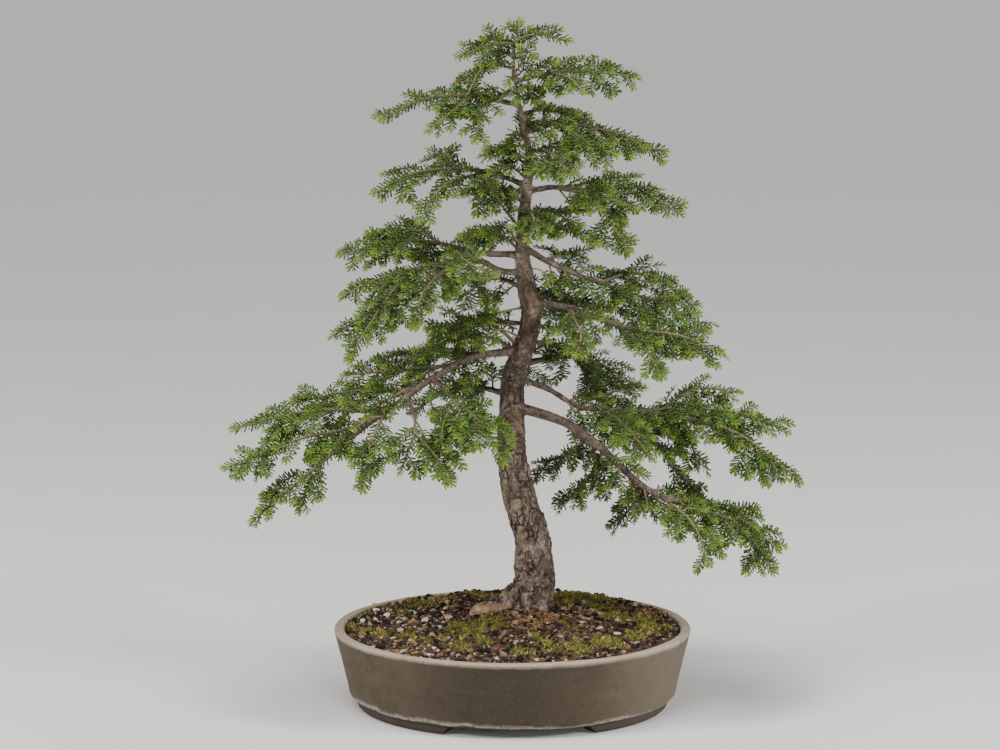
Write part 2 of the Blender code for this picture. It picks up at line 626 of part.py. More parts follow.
def foot(middle):
    """One foot: a band that wraps an end of the pot, with slanted ends and its top inside the body."""
    profile = ((FOOT_INNER, 0.0), (FOOT_INNER, FOOT_TOP), (FOOT_OUTER, FOOT_TOP), (FOOT_OUTER, 0.0))
    half = math.radians(FOOT_HALF_ANGLE)
    bm = bmesh.new()
    verts = [bm.verts.new((x, 0.0, z)) for x, z in profile]
    face = bm.faces.new(verts)
    bmesh.ops.rotate(bm, verts=bm.verts, matrix=Matrix.Rotation(-half, 3, "Z"))
    bmesh.ops.spin(bm, geom=[face, *face.edges, *face.verts], axis=(0, 0, 1), cent=(0, 0, 0),
                   angle=2 * half, steps=FOOT_STEPS, use_duplicate=False)
    bmesh.ops.recalc_face_normals(bm, faces=bm.faces)
    for vert in bm.verts:
        side = math.atan2(vert.co.y, vert.co.x)
        if vert.co.z < FOOT_TOP / 2 and math.isclose(abs(side), half, abs_tol=0.01):
            turn = -math.copysign(math.radians(FOOT_SLANT), side)
            vert.co = Matrix.Rotation(turn, 3, "Z") @ vert.co
    mesh = to_mesh(bm)
    mesh.transform(Matrix.Diagonal((1.0, POT_OVAL, 1.0, 1.0)) @ Matrix.Rotation(math.radians(middle), 4, "Z"))
    return mesh


def cylinder(x, radius, bottom, top, sides):
    bm = bmesh.new()
    bmesh.ops.create_cone(bm, cap_ends=True, segments=sides, radius1=radius, radius2=radius,
                          depth=top - bottom, matrix=Matrix.Translation((x, 0, (top + bottom) / 2)))
    return to_mesh(bm)


def block(x, y, z, half, thick):
    """A flat square block around a point."""
    bm = bmesh.new()
    shape = Matrix.Translation((x, y, z)) @ Matrix.Diagonal((2 * half, 2 * half, thick, 1.0))
    bmesh.ops.create_cube(bm, size=1.0, matrix=shape)
    return to_mesh(bm)


def inner_wall():
    """The pot's inner side, from the floor to the rim: x, z points."""
    inside = RIM_RADIUS - RIM_WIDTH
    return (FLOOR_RADIUS, FLOOR_TOP), FLOOR_BEND, (inside - RIM_DROP / 2, RIM_TOP - RIM_DROP)


def build_pot(material):
    inside = RIM_RADIUS - RIM_WIDTH
    profile = ((0.0, FLOOR_TOP), *inner_wall(),
               (inside, RIM_TOP - RIM_ROUND * 0.4), (inside + RIM_ROUND, RIM_TOP),
               (RIM_RADIUS - RIM_ROUND, RIM_TOP), (RIM_RADIUS - RIM_ROUND * 0.3, RIM_TOP - RIM_ROUND * 0.3),
               (RIM_RADIUS, RIM_TOP - RIM_ROUND), WALL_FOOT, LOWER_EDGE, *BOTTOM_EDGE, (0.0, BODY_BOTTOM))
    body = combine([turned(profile, POT_STEPS), foot(0), foot(180)])
    drains = [cylinder(x, DRAIN_RADIUS, BODY_BOTTOM - DRAIN_SPARE, FLOOR_TOP + DRAIN_SPARE, DRAIN_SIDES)
              for x in (-DRAIN_X, DRAIN_X)]
    return place(combine([body, *drains], "DIFFERENCE"), "pot", material)


def build_screens(material):
    """Plastic screens over the drainage holes, under the soil."""
    pitch = 2 * SCREEN_HALF / SCREEN_HOLES
    for side, x in (("left", -DRAIN_X), ("right", DRAIN_X)):
        z = FLOOR_TOP + GAP + SCREEN_THICK / 2
        offsets = [(step - (SCREEN_HOLES - 1) / 2) * pitch for step in range(SCREEN_HOLES)]
        holes = [block(x + dx, dy, z, pitch * SCREEN_OPEN / 2, SCREEN_THICK * 3)
                 for dx in offsets for dy in offsets]
        plate = block(x, 0.0, z, SCREEN_HALF, SCREEN_THICK)
        place(combine([plate, *holes], "DIFFERENCE"), "drainage_screen_" + side, material)


def soil_height(x, y):
    """The height of the soil's surface above the ground."""
    spread = (x - TRUNK_FOOT[0]) ** 2 + (y - TRUNK_FOOT[1]) ** 2
    height = SOIL_EDGE + SOIL_RISE * math.exp(-spread / (2 * SOIL_SPREAD ** 2))
    for mx, my, radius, rise in MOUNDS:
        height += rise * math.exp(-((x - mx) ** 2 + (y - my) ** 2) / (2 * (radius * MOUND_SLOPE) ** 2))
    return height


def build_soil(material):
    """The soil fills the pot, with plain holes for the trunk and its roots."""
    (floor_x, floor_z), (bend_x, bend_z), (top_x, top_z) = inner_wall()
    share = (SOIL_EDGE - bend_z) / (top_z - bend_z)
    edge = bend_x + (top_x - bend_x) * share - 2 * GAP
    bm = bmesh.new()
    bmesh.ops.create_circle(bm, cap_ends=True, segments=POT_STEPS, radius=edge)
    bm.verts.ensure_lookup_table()
    surface = bm.faces[:]
    top = surface[0]
    for ring in SOIL_RINGS:
        bmesh.ops.inset_region(bm, faces=[top], thickness=ring, use_boundary=True)
    bmesh.ops.poke(bm, faces=[top])
    bmesh.ops.triangulate(bm, faces=bm.faces)
    for vert in bm.verts:
        vert.co.y *= POT_OVAL
        vert.co.z = soil_height(vert.co.x, vert.co.y)
    rim = [side for side in bm.edges if side.is_boundary]
    for x, z in ((bend_x - 2 * GAP, bend_z), (floor_x - 2 * GAP, floor_z + GAP)):
        made = bmesh.ops.extrude_edge_only(bm, edges=rim)["geom"]
        rim = [item for item in made if isinstance(item, bmesh.types.BMEdge) and item.is_boundary]
        for vert in {vert for item in rim for vert in item.verts}:
            angle = math.atan2(vert.co.y / POT_OVAL, vert.co.x)
            vert.co = (x * math.cos(angle), x * POT_OVAL * math.sin(angle), z)
    bmesh.ops.contextual_create(bm, geom=rim)
    bmesh.ops.recalc_face_normals(bm, faces=bm.faces)
    mesh = to_mesh(bm)
    pockets = [block(x, 0.0, FLOOR_TOP, SCREEN_HALF + 2 * GAP, 2 * (SCREEN_THICK + 2 * GAP))
               for x in (-DRAIN_X, DRAIN_X)]
    hole = combine([trunk_tube(GAP, TRUNK_FOOT_TOP), *root_tubes(GAP)])
    return place(combine([mesh, *pockets, hole], "DIFFERENCE"), "soil", material)


def trunk_tube(grow=0.0, top=1.0):
    """The trunk up to a height, grown by an amount."""
    path = smooth_path(TRUNK)
    path = stretch(path, 0, distances(path)[-1], TRUNK_SEGMENT)
    path = path[path[:, 2] < top]
    path[0, 2] -= grow
    return tube(path, path[:, 3] + grow, 3)


def root_tubes(grow=0.0):
    """The roots at the surface, each grown by an amount."""
    meshes = []
    for root in ROOTS:
        path = smooth_path(root)
        path = stretch(path, 0, distances(path)[-1], ROOT_SEGMENT)
        path[-1, :3] += unit(path[-1, :3] - path[-2, :3]) * grow
        meshes.append(tube(path, path[:, 3] + grow, 1))
    return meshes


def build_trunk(material, boughs):
    """The trunk with its roots and the bare wood of every bough, as one piece of wood."""
    meshes = [trunk_tube(), *root_tubes()]
    for bough in boughs.values():
        if bough["wood"]:
            sides = 1 if bough["wood"] > LONG_LIMB else 0
            meshes.append(tube(wood_path(bough), wood_radii(bough), sides))
    return place(combine(meshes), "trunk", material)


def build_sprays(material, boughs):
    """The needles, twigs and cores of each spray, joined with those of the boughs that fork from it."""
    sprays = {}
    for bough in boughs.values():
        core = core_path(bough)
        radii = [*np.linspace(CORE_RADII[0], CORE_RADII[1], len(core) - 1), CORE_RADII[2]]
        meshes = sprays.setdefault(bough["node"], [])
        meshes.append(tube(core, radii, 0, square=True))
        meshes += [twig_mesh(*twig) for twig in bough["twigs"]]
        meshes += [needle_mesh(*needle) for needle in bough["needles"]]
    for node, meshes in sprays.items():
        place(combine(meshes), node, material)


def clear_scene():
    for obj in list(bpy.data.objects):
        bpy.data.objects.remove(obj)
    for collection in list(bpy.data.collections):
        bpy.data.collections.remove(collection)
    bpy.context.scene.collection.children.link(bpy.data.collections.new(NAME))


def centre_over_origin():
    """Moves the whole until its bounding box is centred over the origin, its feet still on z = 0."""
    meshes = [obj.data for obj in bpy.data.collections[NAME].objects]
    corners = np.array([vert.co[:] for mesh in meshes for vert in mesh.vertices])
    middle = (corners.min(axis=0) + corners.max(axis=0)) / 2
    for mesh in meshes:
        mesh.transform(Matrix.Translation((-middle[0], -middle[1], 0.0)))


def main():
    clear_scene()
    crowd = Crowd()
    boughs = grow_boughs(crowd)
    grow_twigs(boughs, crowd)
    grow_needles(boughs, crowd)
    build_pot(paint("stoneware", (0.22, 0.20, 0.17), 0.85))
    build_screens(paint("black_plastic", (0.02, 0.02, 0.02), 0.6))
    build_soil(paint("soil", (0.06, 0.04, 0.02), 0.95))
    build_trunk(paint("bark", (0.16, 0.11, 0.08), 0.9), boughs)
    build_sprays(paint("needles", (0.07, 0.17, 0.05), 0.5), boughs)
    centre_over_origin()


main()
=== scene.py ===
"""The look of a Carolina hemlock bonsai: fine wood, needles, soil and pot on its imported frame.

Everything is built in metres around the pot's middle on the ground, and each piece is then moved to where the
frame has the pot. The boughs are those of the frame's solids, and carry their side shoots and their needles.
"""

import functools
import itertools
import math
from collections import namedtuple

import bmesh
import bpy
import numpy as np
from mathutils import Matrix, Vector


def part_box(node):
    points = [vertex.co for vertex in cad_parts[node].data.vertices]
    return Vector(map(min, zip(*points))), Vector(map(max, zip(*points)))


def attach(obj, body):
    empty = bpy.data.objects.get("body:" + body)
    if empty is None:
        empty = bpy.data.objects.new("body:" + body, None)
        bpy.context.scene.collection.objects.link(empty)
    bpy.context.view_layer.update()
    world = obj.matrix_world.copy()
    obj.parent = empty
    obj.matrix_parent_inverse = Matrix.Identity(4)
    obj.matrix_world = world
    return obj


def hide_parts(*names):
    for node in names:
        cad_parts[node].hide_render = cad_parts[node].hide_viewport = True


SEED = 5
UP = np.array((0.0, 0.0, 1.0))

# Camera, measured from the pot's middle on the ground, and lights: name, place, target, size, power, colour
CAMERA_PLACE = (-0.014, -2.5626, 0.8031)
CAMERA_PITCH = 9.53
LENS = 84.8
SENSOR = 36.0
LIGHTS = (
    ("key", (-2.45, -1.05, 1.4), (0, 0, 0.36), 0.7, 74.0, (1.0, 0.98, 0.95)),
    ("side", (2.4, -0.9, 1.3), (0, 0, 0.30), 0.7, 68.0, (1.0, 0.99, 0.97)),
    ("top", (-0.3, -0.6, 2.5), (0, 0, 0.40), None, 2.2, (1.0, 1.0, 1.0)),
    ("fill", (0.9, -2.6, 0.8), (0.1, 0, 0.35), 0.6, 19.0, (1.0, 1.0, 1.0)),
)
SUN_ANGLE = 35
WORLD_COLOUR = (0.80, 0.80, 0.79, 1.0)
WORLD_STRENGTH = 0.19
FLOOR_HALF = 150.0

# Pot
RIM_RADIUS = 0.200
POT_OVAL = 0.78
RIM_TOP = 0.088
RIM_WIDTH = 0.011
RIM_BULGE = 0.0020
RIM_ROUND = 0.0026
LIP_ROUND = 0.0020
WALL_TOP = RIM_TOP - 0.0050
BODY_BOTTOM = 0.0105
FLOOR_TOP = 0.018
FLOOR_RADIUS = 0.160
FLOOR_BEND = (0.169, 0.025)
WALL_FOOT = (0.1845, 0.0205)
WALL_ROUND = 0.0080
FOOT_OUTER = 0.1745
FOOT_INNER = 0.148
FOOT_TOP = 0.0125
FOOT_CHAMFERS = (0.0008, 0.0012)
FOOT_HALF_ANGLE = 62.5
FOOT_LEFT_LONGER = 5
FOOT_SLANT = 4
FOOT_STEPS = 90
DRAIN_X = 0.085
DRAIN_RADIUS = 0.010
DRILL_LENGTH = 0.03
POT_STEPS = 160
POT_SPACING = 0.004
FOOT_SPACING = 0.003
SHARP_ANGLE = 50

# Relief as layers of noise: height, size, octaves, seed
POT_RELIEF = ((0.00045, 0.055, 2, 200), (0.00012, 0.007, 3, 210))
LIMB_RELIEF = ((0.00040, 0.006, 3, 120), (0.0005, 0.016, 2, 130))
BARK_GRAIN = ((0.00040, 0.0030, 3, 80),)
BARK_LUMPS = ((0.0011, 0.020, 2, 90),)

# Soil
SOIL_EDGE = 0.0815
SOIL_RISE = 0.020
SOIL_SPREAD = 0.068
SOIL_GAP = 0.0005
TRUNK_FOOT = (0.022, 0.015)
MOUND_SLOPE = 0.6
SOIL_LIFT = 0.0034
BACK_LIFT = 0.0024
BACK_RISES = (0.02, 0.12)
CRUMB_HEIGHT = 0.0013
MOSS_HEIGHT = 0.0006
CUSHION_HEIGHT = 0.0016
GROUND_STEPS = 220
GROUND_RINGS = 76

# Noise on the ground: size, octaves, seed
MOSS_RAGGED = (0.009, 3, 300)
MOSS_HOLES = (0.0055, 3, 305)
LITTER_PATCHES = (0.012, 3, 310)
CRUMBS = (0.0055, 4, 320)
CUSHIONS = (0.0065, 3, 330)
MOSS_CLUMPS = (0.005, 2, 340)

# Cushions on the soil: x, y, radius, height
MOUNDS = (
    (0.016, -0.008, 0.052, 0.0074),
    (-0.042, -0.020, 0.026, 0.0050), (-0.110, 0.035, 0.020, 0.0035), (-0.128, -0.030, 0.022, 0.0035),
    (0.075, 0.020, 0.030, 0.0035), (0.120, -0.010, 0.024, 0.0030), (0.020, -0.090, 0.028, 0.0030),
    (-0.060, 0.085, 0.030, 0.0035), (0.080, 0.090, 0.026, 0.0040), (0.150, 0.030, 0.018, 0.0030),
    (0.100, -0.070, 0.020, 0.0030), (-0.080, -0.080, 0.020, 0.0030),
)

# Moss on the soil: x, y, radius
MOSS = (
    (-0.177, 0.052, 0.013), (-0.139, -0.034, 0.013), (-0.116, -0.047, 0.013), (-0.095, -0.060, 0.013),
    (-0.080, -0.053, 0.012), (-0.048, -0.046, 0.025), (-0.028, -0.036, 0.017), (-0.014, -0.022, 0.008),
    (-0.107, 0.085, 0.018), (-0.087, 0.105, 0.016), (-0.055, 0.125, 0.018), (0.064, 0.115, 0.018),
    (0.082, 0.060, 0.028), (0.104, 0.040, 0.024), (0.120, 0.008, 0.024), (0.150, -0.015, 0.016),
    (0.072, -0.095, 0.020), (0.042, -0.095, 0.017), (0.137, -0.045, 0.016), (0.024, -0.074, 0.008),
    (0.172, -0.008, 0.010), (0.060, 0.090, 0.026), (-0.185, 0.010, 0.012), (-0.160, 0.080, 0.012),
    (0.012, -0.110, 0.012), (0.104, 0.090, 0.022), (-0.030, 0.095, 0.017), (0.020, 0.120, 0.018),
    (-0.166, -0.014, 0.012), (0.105, -0.080, 0.018), (-0.058, -0.092, 0.013), (-0.122, 0.052, 0.014),
    (0.062, 0.030, 0.014), (0.150, 0.024, 0.016), (-0.030, -0.078, 0.012), (0.060, -0.040, 0.008),
)

# Pale pebbles lying on the soil: x, y, radius
PEBBLES = (
    (-0.156, 0.062, 0.0052), (-0.143, 0.042, 0.0060), (-0.128, 0.010, 0.0048), (-0.114, 0.011, 0.0048),
    (-0.099, 0.008, 0.0072), (-0.169, 0.019, 0.0048), (-0.071, 0.003, 0.0060),
    (0.096, -0.039, 0.0058), (0.077, -0.028, 0.0047), (0.085, -0.016, 0.0031), (-0.026, -0.107, 0.0037),
    (-0.011, -0.115, 0.0031), (0.037, -0.010, 0.0035), (0.021, -0.034, 0.0031), (0.115, -0.053, 0.0047),
    (0.099, -0.072, 0.0028), (-0.160, 0.092, 0.0036), (-0.126, 0.055, 0.0037),
    (-0.091, 0.048, 0.0042), (-0.145, 0.098, 0.0030), (-0.110, 0.034, 0.0031), (-0.081, -0.018, 0.0032),
    (0.050, 0.110, 0.0040), (0.010, -0.088, 0.0026),
)

# Where litter lies: its middle, how far it reaches, and how thick it is
LITTER = (
    ((0.022, -0.022), (0.042, 0.036), 1.0),
    ((0.150, 0.050), (0.035, 0.055), 0.8),
    ((-0.010, 0.110), (0.090, 0.030), 0.7),
)

# Granules, slivers of litter and leaves of moss, before those off their ground are left out
GRANULES = 8200
GRANULE_RADIUS = 0.00145
GRANULE_SPREAD = 0.52
GRANULE_RADII = (0.0006, 0.0046)
PEBBLE_SHRINK = 0.88
PEBBLE_SIZES = ((0.95, 1.15), (0.75, 0.95), (0.6, 0.8))
SLIVERS = 15000
SLIVER_LENGTH = (0.0035, 0.0085)
SLIVER_WIDTH = (0.0008, 0.0020)
SLIVER_THICKNESS = 0.0006
MOSS_LEAVES = 52000
MOSS_WIDTH = (0.00050, 0.00105)
SCATTER_SHARE = 0.985
TRUNK_CLEARANCE = 0.020

# Colours with the share of pieces that have them
GRANULE_COLOURS = (
    (0.31, (0.014, 0.009, 0.006)), (0.24, (0.080, 0.048, 0.029)), (0.18, (0.240, 0.132, 0.068)),
    (0.10, (0.360, 0.262, 0.170)), (0.035, (0.640, 0.520, 0.370)), (0.135, (0.032, 0.027, 0.024)),
)
PALE_GRANULE = (0.640, 0.530, 0.400)
PEBBLE_COLOURS = ((0.6, (0.780, 0.700, 0.590)), (0.25, (0.660, 0.560, 0.430)), (0.15, (0.500, 0.440, 0.340)))
LITTER_COLOURS = (
    (0.36, (0.560, 0.280, 0.105)), (0.28, (0.320, 0.145, 0.052)), (0.18, (0.800, 0.540, 0.290)),
    (0.18, (0.100, 0.048, 0.024)),
)
MOSS_COLOURS = (
    (0.36, (0.200, 0.205, 0.032)), (0.28, (0.380, 0.350, 0.065)), (0.22, (0.080, 0.088, 0.020)),
    (0.14, (0.560, 0.440, 0.120)),
)

# Trunk, from below the soil up: x, y, z, radius
TRUNK = (
    (0.0220, 0.015, 0.062, 0.0280),
    (0.0220, 0.015, 0.102, 0.0266),
    (0.0248, 0.014, 0.138, 0.0226),
    (0.0224, 0.012, 0.184, 0.0202),
    (0.0085, 0.010, 0.230, 0.0186),
    (0.000, 0.010, 0.276, 0.0162),
    (-0.001, 0.010, 0.320, 0.0145),
    (0.001, 0.010, 0.366, 0.0135),
    (0.015, 0.010, 0.411, 0.0118),
    (0.020, 0.011, 0.440, 0.0110),
    (0.014, 0.012, 0.478, 0.0101),
    (0.010, 0.012, 0.512, 0.0080),
    (0.014, 0.011, 0.566, 0.0063),
    (0.018, 0.008, 0.609, 0.0046),
    (0.010, 0.004, 0.653, 0.0034),
    (0.002, 0.002, 0.696, 0.0024),
    (0.001, 0.001, 0.720, 0.0020),
)

# Roots at the surface: points with their radius, from inside the trunk outwards
ROOTS = (
    ((0.017, 0.008, 0.136, 0.0150), (-0.003, 0.000, 0.1160, 0.0128), (-0.019, -0.004, 0.1110, 0.0108),
     (-0.030, -0.006, 0.1085, 0.0088), (-0.038, -0.008, 0.1070, 0.0082), (-0.044, -0.010, 0.1020, 0.0055)),
    ((0.018, 0.012, 0.132, 0.0120), (0.0135, -0.007, 0.117, 0.0100), (0.0130, -0.013, 0.103, 0.0100)),
    ((0.026, 0.012, 0.130, 0.0120), (0.0325, -0.004, 0.112, 0.0090), (0.0350, -0.009, 0.100, 0.0090)),
    ((0.024, 0.022, 0.112, 0.0130), (0.036, 0.046, 0.102, 0.0080), (0.044, 0.066, 0.090, 0.0055)),
    ((0.018, 0.020, 0.110, 0.0120), (-0.006, 0.040, 0.102, 0.0075), (-0.024, 0.056, 0.090, 0.0050)),
)

# Bark: its finest grain, its plates and fissures, and how rough and how deeply cracked it is by height
WOOD_VOXEL = 0.00138
PLATE_SIZE = (0.0100, 0.0100, 0.017)
SMALL_PLATE_SIZE = (0.0050, 0.0050, 0.0085)
FISSURE_SIZE = (0.015, 0.015, 0.060)
PLATE_RISE = 0.0024
SMALL_PLATE_RISE = 0.0017
PLATE_GAP_DEPTH = 0.0011
FISSURE_DEPTH = 0.0024
BARK_WARP = 0.0030
BARK_WARP_SIZE = 0.012
BARK_ROUGH = ((0.09, 0.17, 0.26, 0.36, 0.50, 0.70), (1.0, 0.95, 0.75, 0.60, 0.40, 0.15))
BARK_DEEP = ((0.09, 0.20, 0.30, 0.50), (1.0, 0.8, 0.35, 0.10))

# Limbs
PATH_STEP = 0.006
NEAREST_STEP = 0.002
TRUNK_SPACING = 0.004
ROOT_SPACING = 0.003
ROOT_TIP_LENGTH = 0.004
LIMB_SPACING = 0.0028
LIMB_OVERLAP = 0.001
LIMB_START = 0.020
LIMB_FLARE = 1.25
LIMB_FLARE_FALL = 0.42
LIMB_ROOT_RADIUS = (0.0004, 0.0165)
LIMB_TIP_RADIUS = 0.0007

# Boughs: name, what it grows from, length of its bare wood, and points from its root to its tip
BOUGHS = (
    ("left_low", "trunk", .21, ((-.008, 0, .406), (-.057, -.02, .4), (-.092, -.036, .381),
        (-.145, -.047, .342), (-.175, -.055, .326), (-.235, -.07, .314), (-.31, -.08, .285))),
    ("left_low_upper", "left_low", .03, ((-.14, -.045, .34), (-.22, -.04, .34), (-.305, -.04, .32))),
    ("left_low_under", "left_low", .045, ((-.145, -.047, .338), (-.215, -.09, .285), (-.28, -.1, .23))),
    ("left_low_fork", "left_low_under", 0, ((-.205, -.08, .295), (-.22, -.095, .265), (-.23, -.095, .24))),
    ("left_low_hang", "left_low", .022, ((-.135, -.045, .345), (-.15, -.085, .32), (-.16, -.1, .265))),
    ("left_low_stem", "left_low", .046, ((-.115, -.04, .355), (-.105, -.085, .33), (-.12, -.105, .285))),
    ("left_low_stem_right", "left_low_stem", 0, ((-.104, -.088, .326), (-.08, -.105, .3),
        (-.065, -.115, .275))),
    ("left_low_inner", "left_low", .022, ((-.085, -.03, .37), (-.06, -.07, .35), (-.045, -.095, .31))),
    ("left_low_front", "left_low_inner", 0, ((-.066, -.062, .355), (-.03, -.085, .33), (-.01, -.095, .292))),
    ("left_low_top_mid", "left_low", .022, ((-.065, -.02, .385), (-.125, .02, .375), (-.19, .045, .365))),
    ("left_low_top_out", "left_low", .022, ((-.105, -.035, .36), (-.175, -.005, .355), (-.245, .01, .34))),
    ("left_low_top_back", "left_low", .022, ((-.035, -.01, .395), (-.095, .06, .39), (-.16, .095, .375))),
    ("left_back", "trunk", .035, ((.005, .01, .43), (-.04, .06, .425), (-.095, .095, .41))),
    ("left_mid", "trunk", .098, ((.01, .01, .4855), (-.016, .002, .4885), (-.042, -.005, .501),
        (-.09, -.018, .4965), (-.14, -.025, .485), (-.185, -.03, .465))),
    ("left_mid_low_in", "left_mid", 0, ((-.1, -.018, .494), (-.135, -.05, .465), (-.195, -.065, .425))),
    ("left_mid_low_out", "left_mid", 0, ((-.108, -.02, .493), (-.14, -.075, .46), (-.175, -.095, .405))),
    ("left_mid_hang", "left_mid", .02, ((-.065, -.01, .495), (-.095, -.075, .475), (-.105, -.1, .44))),
    ("left_mid_front", "left_mid", .022, ((-.045, -.005, .495), (-.055, -.07, .51), (-.02, -.11, .495))),
    ("left_mid_top", "trunk", .065, ((.008, .015, .505), (-.04, .03, .505), (-.08, .03, .515),
        (-.13, .015, .52), (-.19, .005, .505))),
    ("left_mid_top_up", "left_mid_top", 0, ((-.078, .03, .514), (-.115, .04, .53), (-.16, .045, .52))),
    ("left_mid_top_back", "left_mid_top", .018, ((-.03, .03, .505), (-.035, .075, .52), (-.06, .11, .515))),
    ("left_up", "trunk", .062, ((.014, .01, .58), (-.025, .005, .595), (-.07, 0, .6), (-.11, -.01, .595),
        (-.15, -.02, .575))),
    ("left_up_top", "left_up", 0, ((-.062, 0, .6), (-.075, .025, .615), (-.1, .04, .605))),
    ("left_up_low", "left_up", .016, ((-.03, .004, .596), (-.075, -.045, .585), (-.1, -.065, .55))),
    ("left_up_front", "trunk", .025, ((.012, .01, .53), (-.01, -.025, .56), (-.03, -.045, .595))),
    ("left_crown", "trunk", .016, ((.016, .005, .625), (-.01, 0, .625), (-.03, -.015, .62))),
    ("left_top", "trunk", .025, ((.007, .003, .67), (-.02, 0, .675), (-.06, -.01, .68), (-.1, -.02, .675),
        (-.14, -.03, .655))),
    ("left_top_low", "left_top", 0, ((-.045, -.006, .679), (-.065, -.045, .665), (-.09, -.06, .645))),
    ("left_top_front", "left_top", 0, ((-.028, 0, .676), (-.035, -.05, .66), (-.04, -.07, .635))),
    ("left_top_back", "trunk", .014, ((.001, .002, .708), (-.025, .03, .71), (-.06, .05, .695))),
    ("apex", "trunk", .006, ((.001, .001, .72), (.003, 0, .74), (.008, .002, .759))),
    ("apex_left", "apex", 0, ((.001, .001, .734), (-.02, -.01, .735), (-.06, -.025, .722))),
    ("apex_left_up", "apex", 0, ((.001, .001, .736), (-.025, .012, .74), (-.045, .02, .731))),
    ("apex_right", "apex", 0, ((.001, .001, .738), (.025, -.005, .745), (.06, -.015, .738))),
    ("right_top", "trunk", .018, ((.002, .002, .695), (.05, 0, .705), (.095, -.002, .705),
        (.135, -.005, .698))),
    ("right_top_low", "right_top", 0, ((.04, 0, .703), (.06, -.04, .7), (.075, -.06, .685))),
    ("right_crown", "trunk", .035, ((.014, .006, .64), (.05, 0, .65), (.095, -.005, .643), (.13, -.01, .633),
        (.162, -.02, .61))),
    ("right_crown_low", "right_crown", 0, ((.055, 0, .649), (.08, -.04, .63), (.11, -.06, .62))),
    ("right_crown_back", "trunk", .014, ((.009, .004, .66), (.045, .025, .665), (.085, .05, .655))),
    ("right_crown_front", "trunk", .016, ((.017, .008, .62), (.042, -.048, .62), (.062, -.082, .6))),
    ("right_up", "trunk", .065, ((.015, .01, .575), (.05, .005, .58), (.105, -.005, .575),
        (.145, -.015, .573), (.182, -.025, .553))),
    ("right_up_low", "right_up", 0, ((.085, 0, .577), (.105, -.03, .545), (.125, -.045, .515))),
    ("right_up_back", "right_up", .018, ((.06, .002, .579), (.105, .05, .585), (.14, .075, .585))),
    ("right_up_front", "right_up", .016, ((.045, .005, .579), (.095, -.055, .575), (.13, -.08, .565))),
    ("right_small", "trunk", .018, ((.012, .01, .528), (.05, -.03, .54), (.09, -.055, .525))),
    ("right_mid", "trunk", .075, ((.011, .013, .515), (.05, .02, .491), (.12, .015, .465), (.17, 0, .45),
        (.215, -.015, .422))),
    ("right_mid_up", "right_mid", 0, ((.095, .02, .473), (.14, .045, .48), (.195, .06, .455))),
    ("right_mid_back", "right_mid", .014, ((.035, .016, .498), (.065, .06, .5), (.085, .095, .49))),
    ("right_mid_low", "trunk", .08, ((.02, .011, .452), (.06, -.004, .449), (.125, -.035, .43),
        (.18, -.055, .425), (.222, -.07, .408))),
    ("right_mid_low_drop", "right_mid_low", 0, ((.115, -.03, .432), (.14, -.085, .415), (.158, -.105, .388))),
    ("right_mid_low_front", "right_mid_low", .018, ((.06, -.004, .443), (.072, -.08, .43),
        (.065, -.11, .412))),
    ("right_inner", "trunk", .03, ((.015, .01, .411), (.06, .06, .39), (.1, .085, .34))),
    ("right_long", "trunk", .114, ((.001, .01, .369), (.036, .016, .3565), (.065, .021, .338),
        (.085, .02, .3315), (.14, .015, .331), (.22, .01, .333), (.265, .005, .325), (.305, 0, .308))),
    ("right_long_low", "right_long", 0, ((.14, .015, .332), (.24, -.025, .315), (.312, -.05, .265))),
    ("right_long_top", "right_long", 0, ((.165, .014, .331), (.205, .03, .352), (.255, .035, .347))),
    ("right_long_front", "right_long", .02, ((.095, .018, .338), (.12, -.06, .33), (.15, -.09, .295))),
    ("right_long_up", "right_long", .018, ((.075, .02, .341), (.115, .06, .345), (.15, .08, .345))),
    ("right_long_under", "right_long", 0, ((.125, .015, .334), (.17, .01, .28), (.21, 0, .235))),
    ("right_low", "trunk", .217, ((0, .01, .337), (.055, -.008, .323), (.095, -.02, .297),
        (.145, -.036, .254), (.195, -.05, .234), (.245, -.065, .219), (.283, -.08, .17))),
    ("right_low_top", "right_low", .018, ((.175, -.046, .246), (.24, -.02, .225), (.295, -.02, .18))),
    ("right_low_hang", "right_low", .018, ((.165, -.042, .252), (.195, -.09, .225), (.21, -.11, .185))),
    ("right_low_inner_left", "right_low", .022, ((.08, -.016, .306), (.065, .04, .275), (.025, .075, .258))),
    ("right_low_inner_mid", "right_low", .02, ((.1, -.022, .295), (.085, .025, .25), (.055, .04, .218))),
    ("right_low_inner_right", "right_low", .018, ((.13, -.031, .273), (.135, .01, .225), (.11, .02, .198))),
    ("front_mid", "trunk", .016, ((.012, .011, .545), (.02, -.035, .555), (.028, -.065, .53))),
    ("back_low", "trunk", .06, ((0, .01, .372), (.015, .095, .38), (.01, .185, .33))),
    ("back_low_left", "trunk", .05, ((0, .01, .348), (-.06, .09, .345), (-.12, .16, .3))),
    ("back_low_right", "trunk", .05, ((.002, .01, .385), (.08, .085, .385), (.15, .15, .345))),
    ("back_mid_right", "trunk", .035, ((.02, .011, .45), (.05, .09, .455), (.08, .15, .415))),
    ("back_mid_left", "trunk", .035, ((.016, .012, .465), (-.02, .08, .47), (-.06, .145, .44))),
    ("back_up_right", "trunk", .025, ((.012, .012, .542), (.035, .06, .55), (.045, .115, .52))),
    ("back_up_left", "trunk", .02, ((.014, .011, .56), (-.015, .07, .575), (-.045, .11, .555))),
    ("back_top", "trunk", .014, ((.014, .006, .635), (.015, .05, .645), (.01, .085, .625))),
)

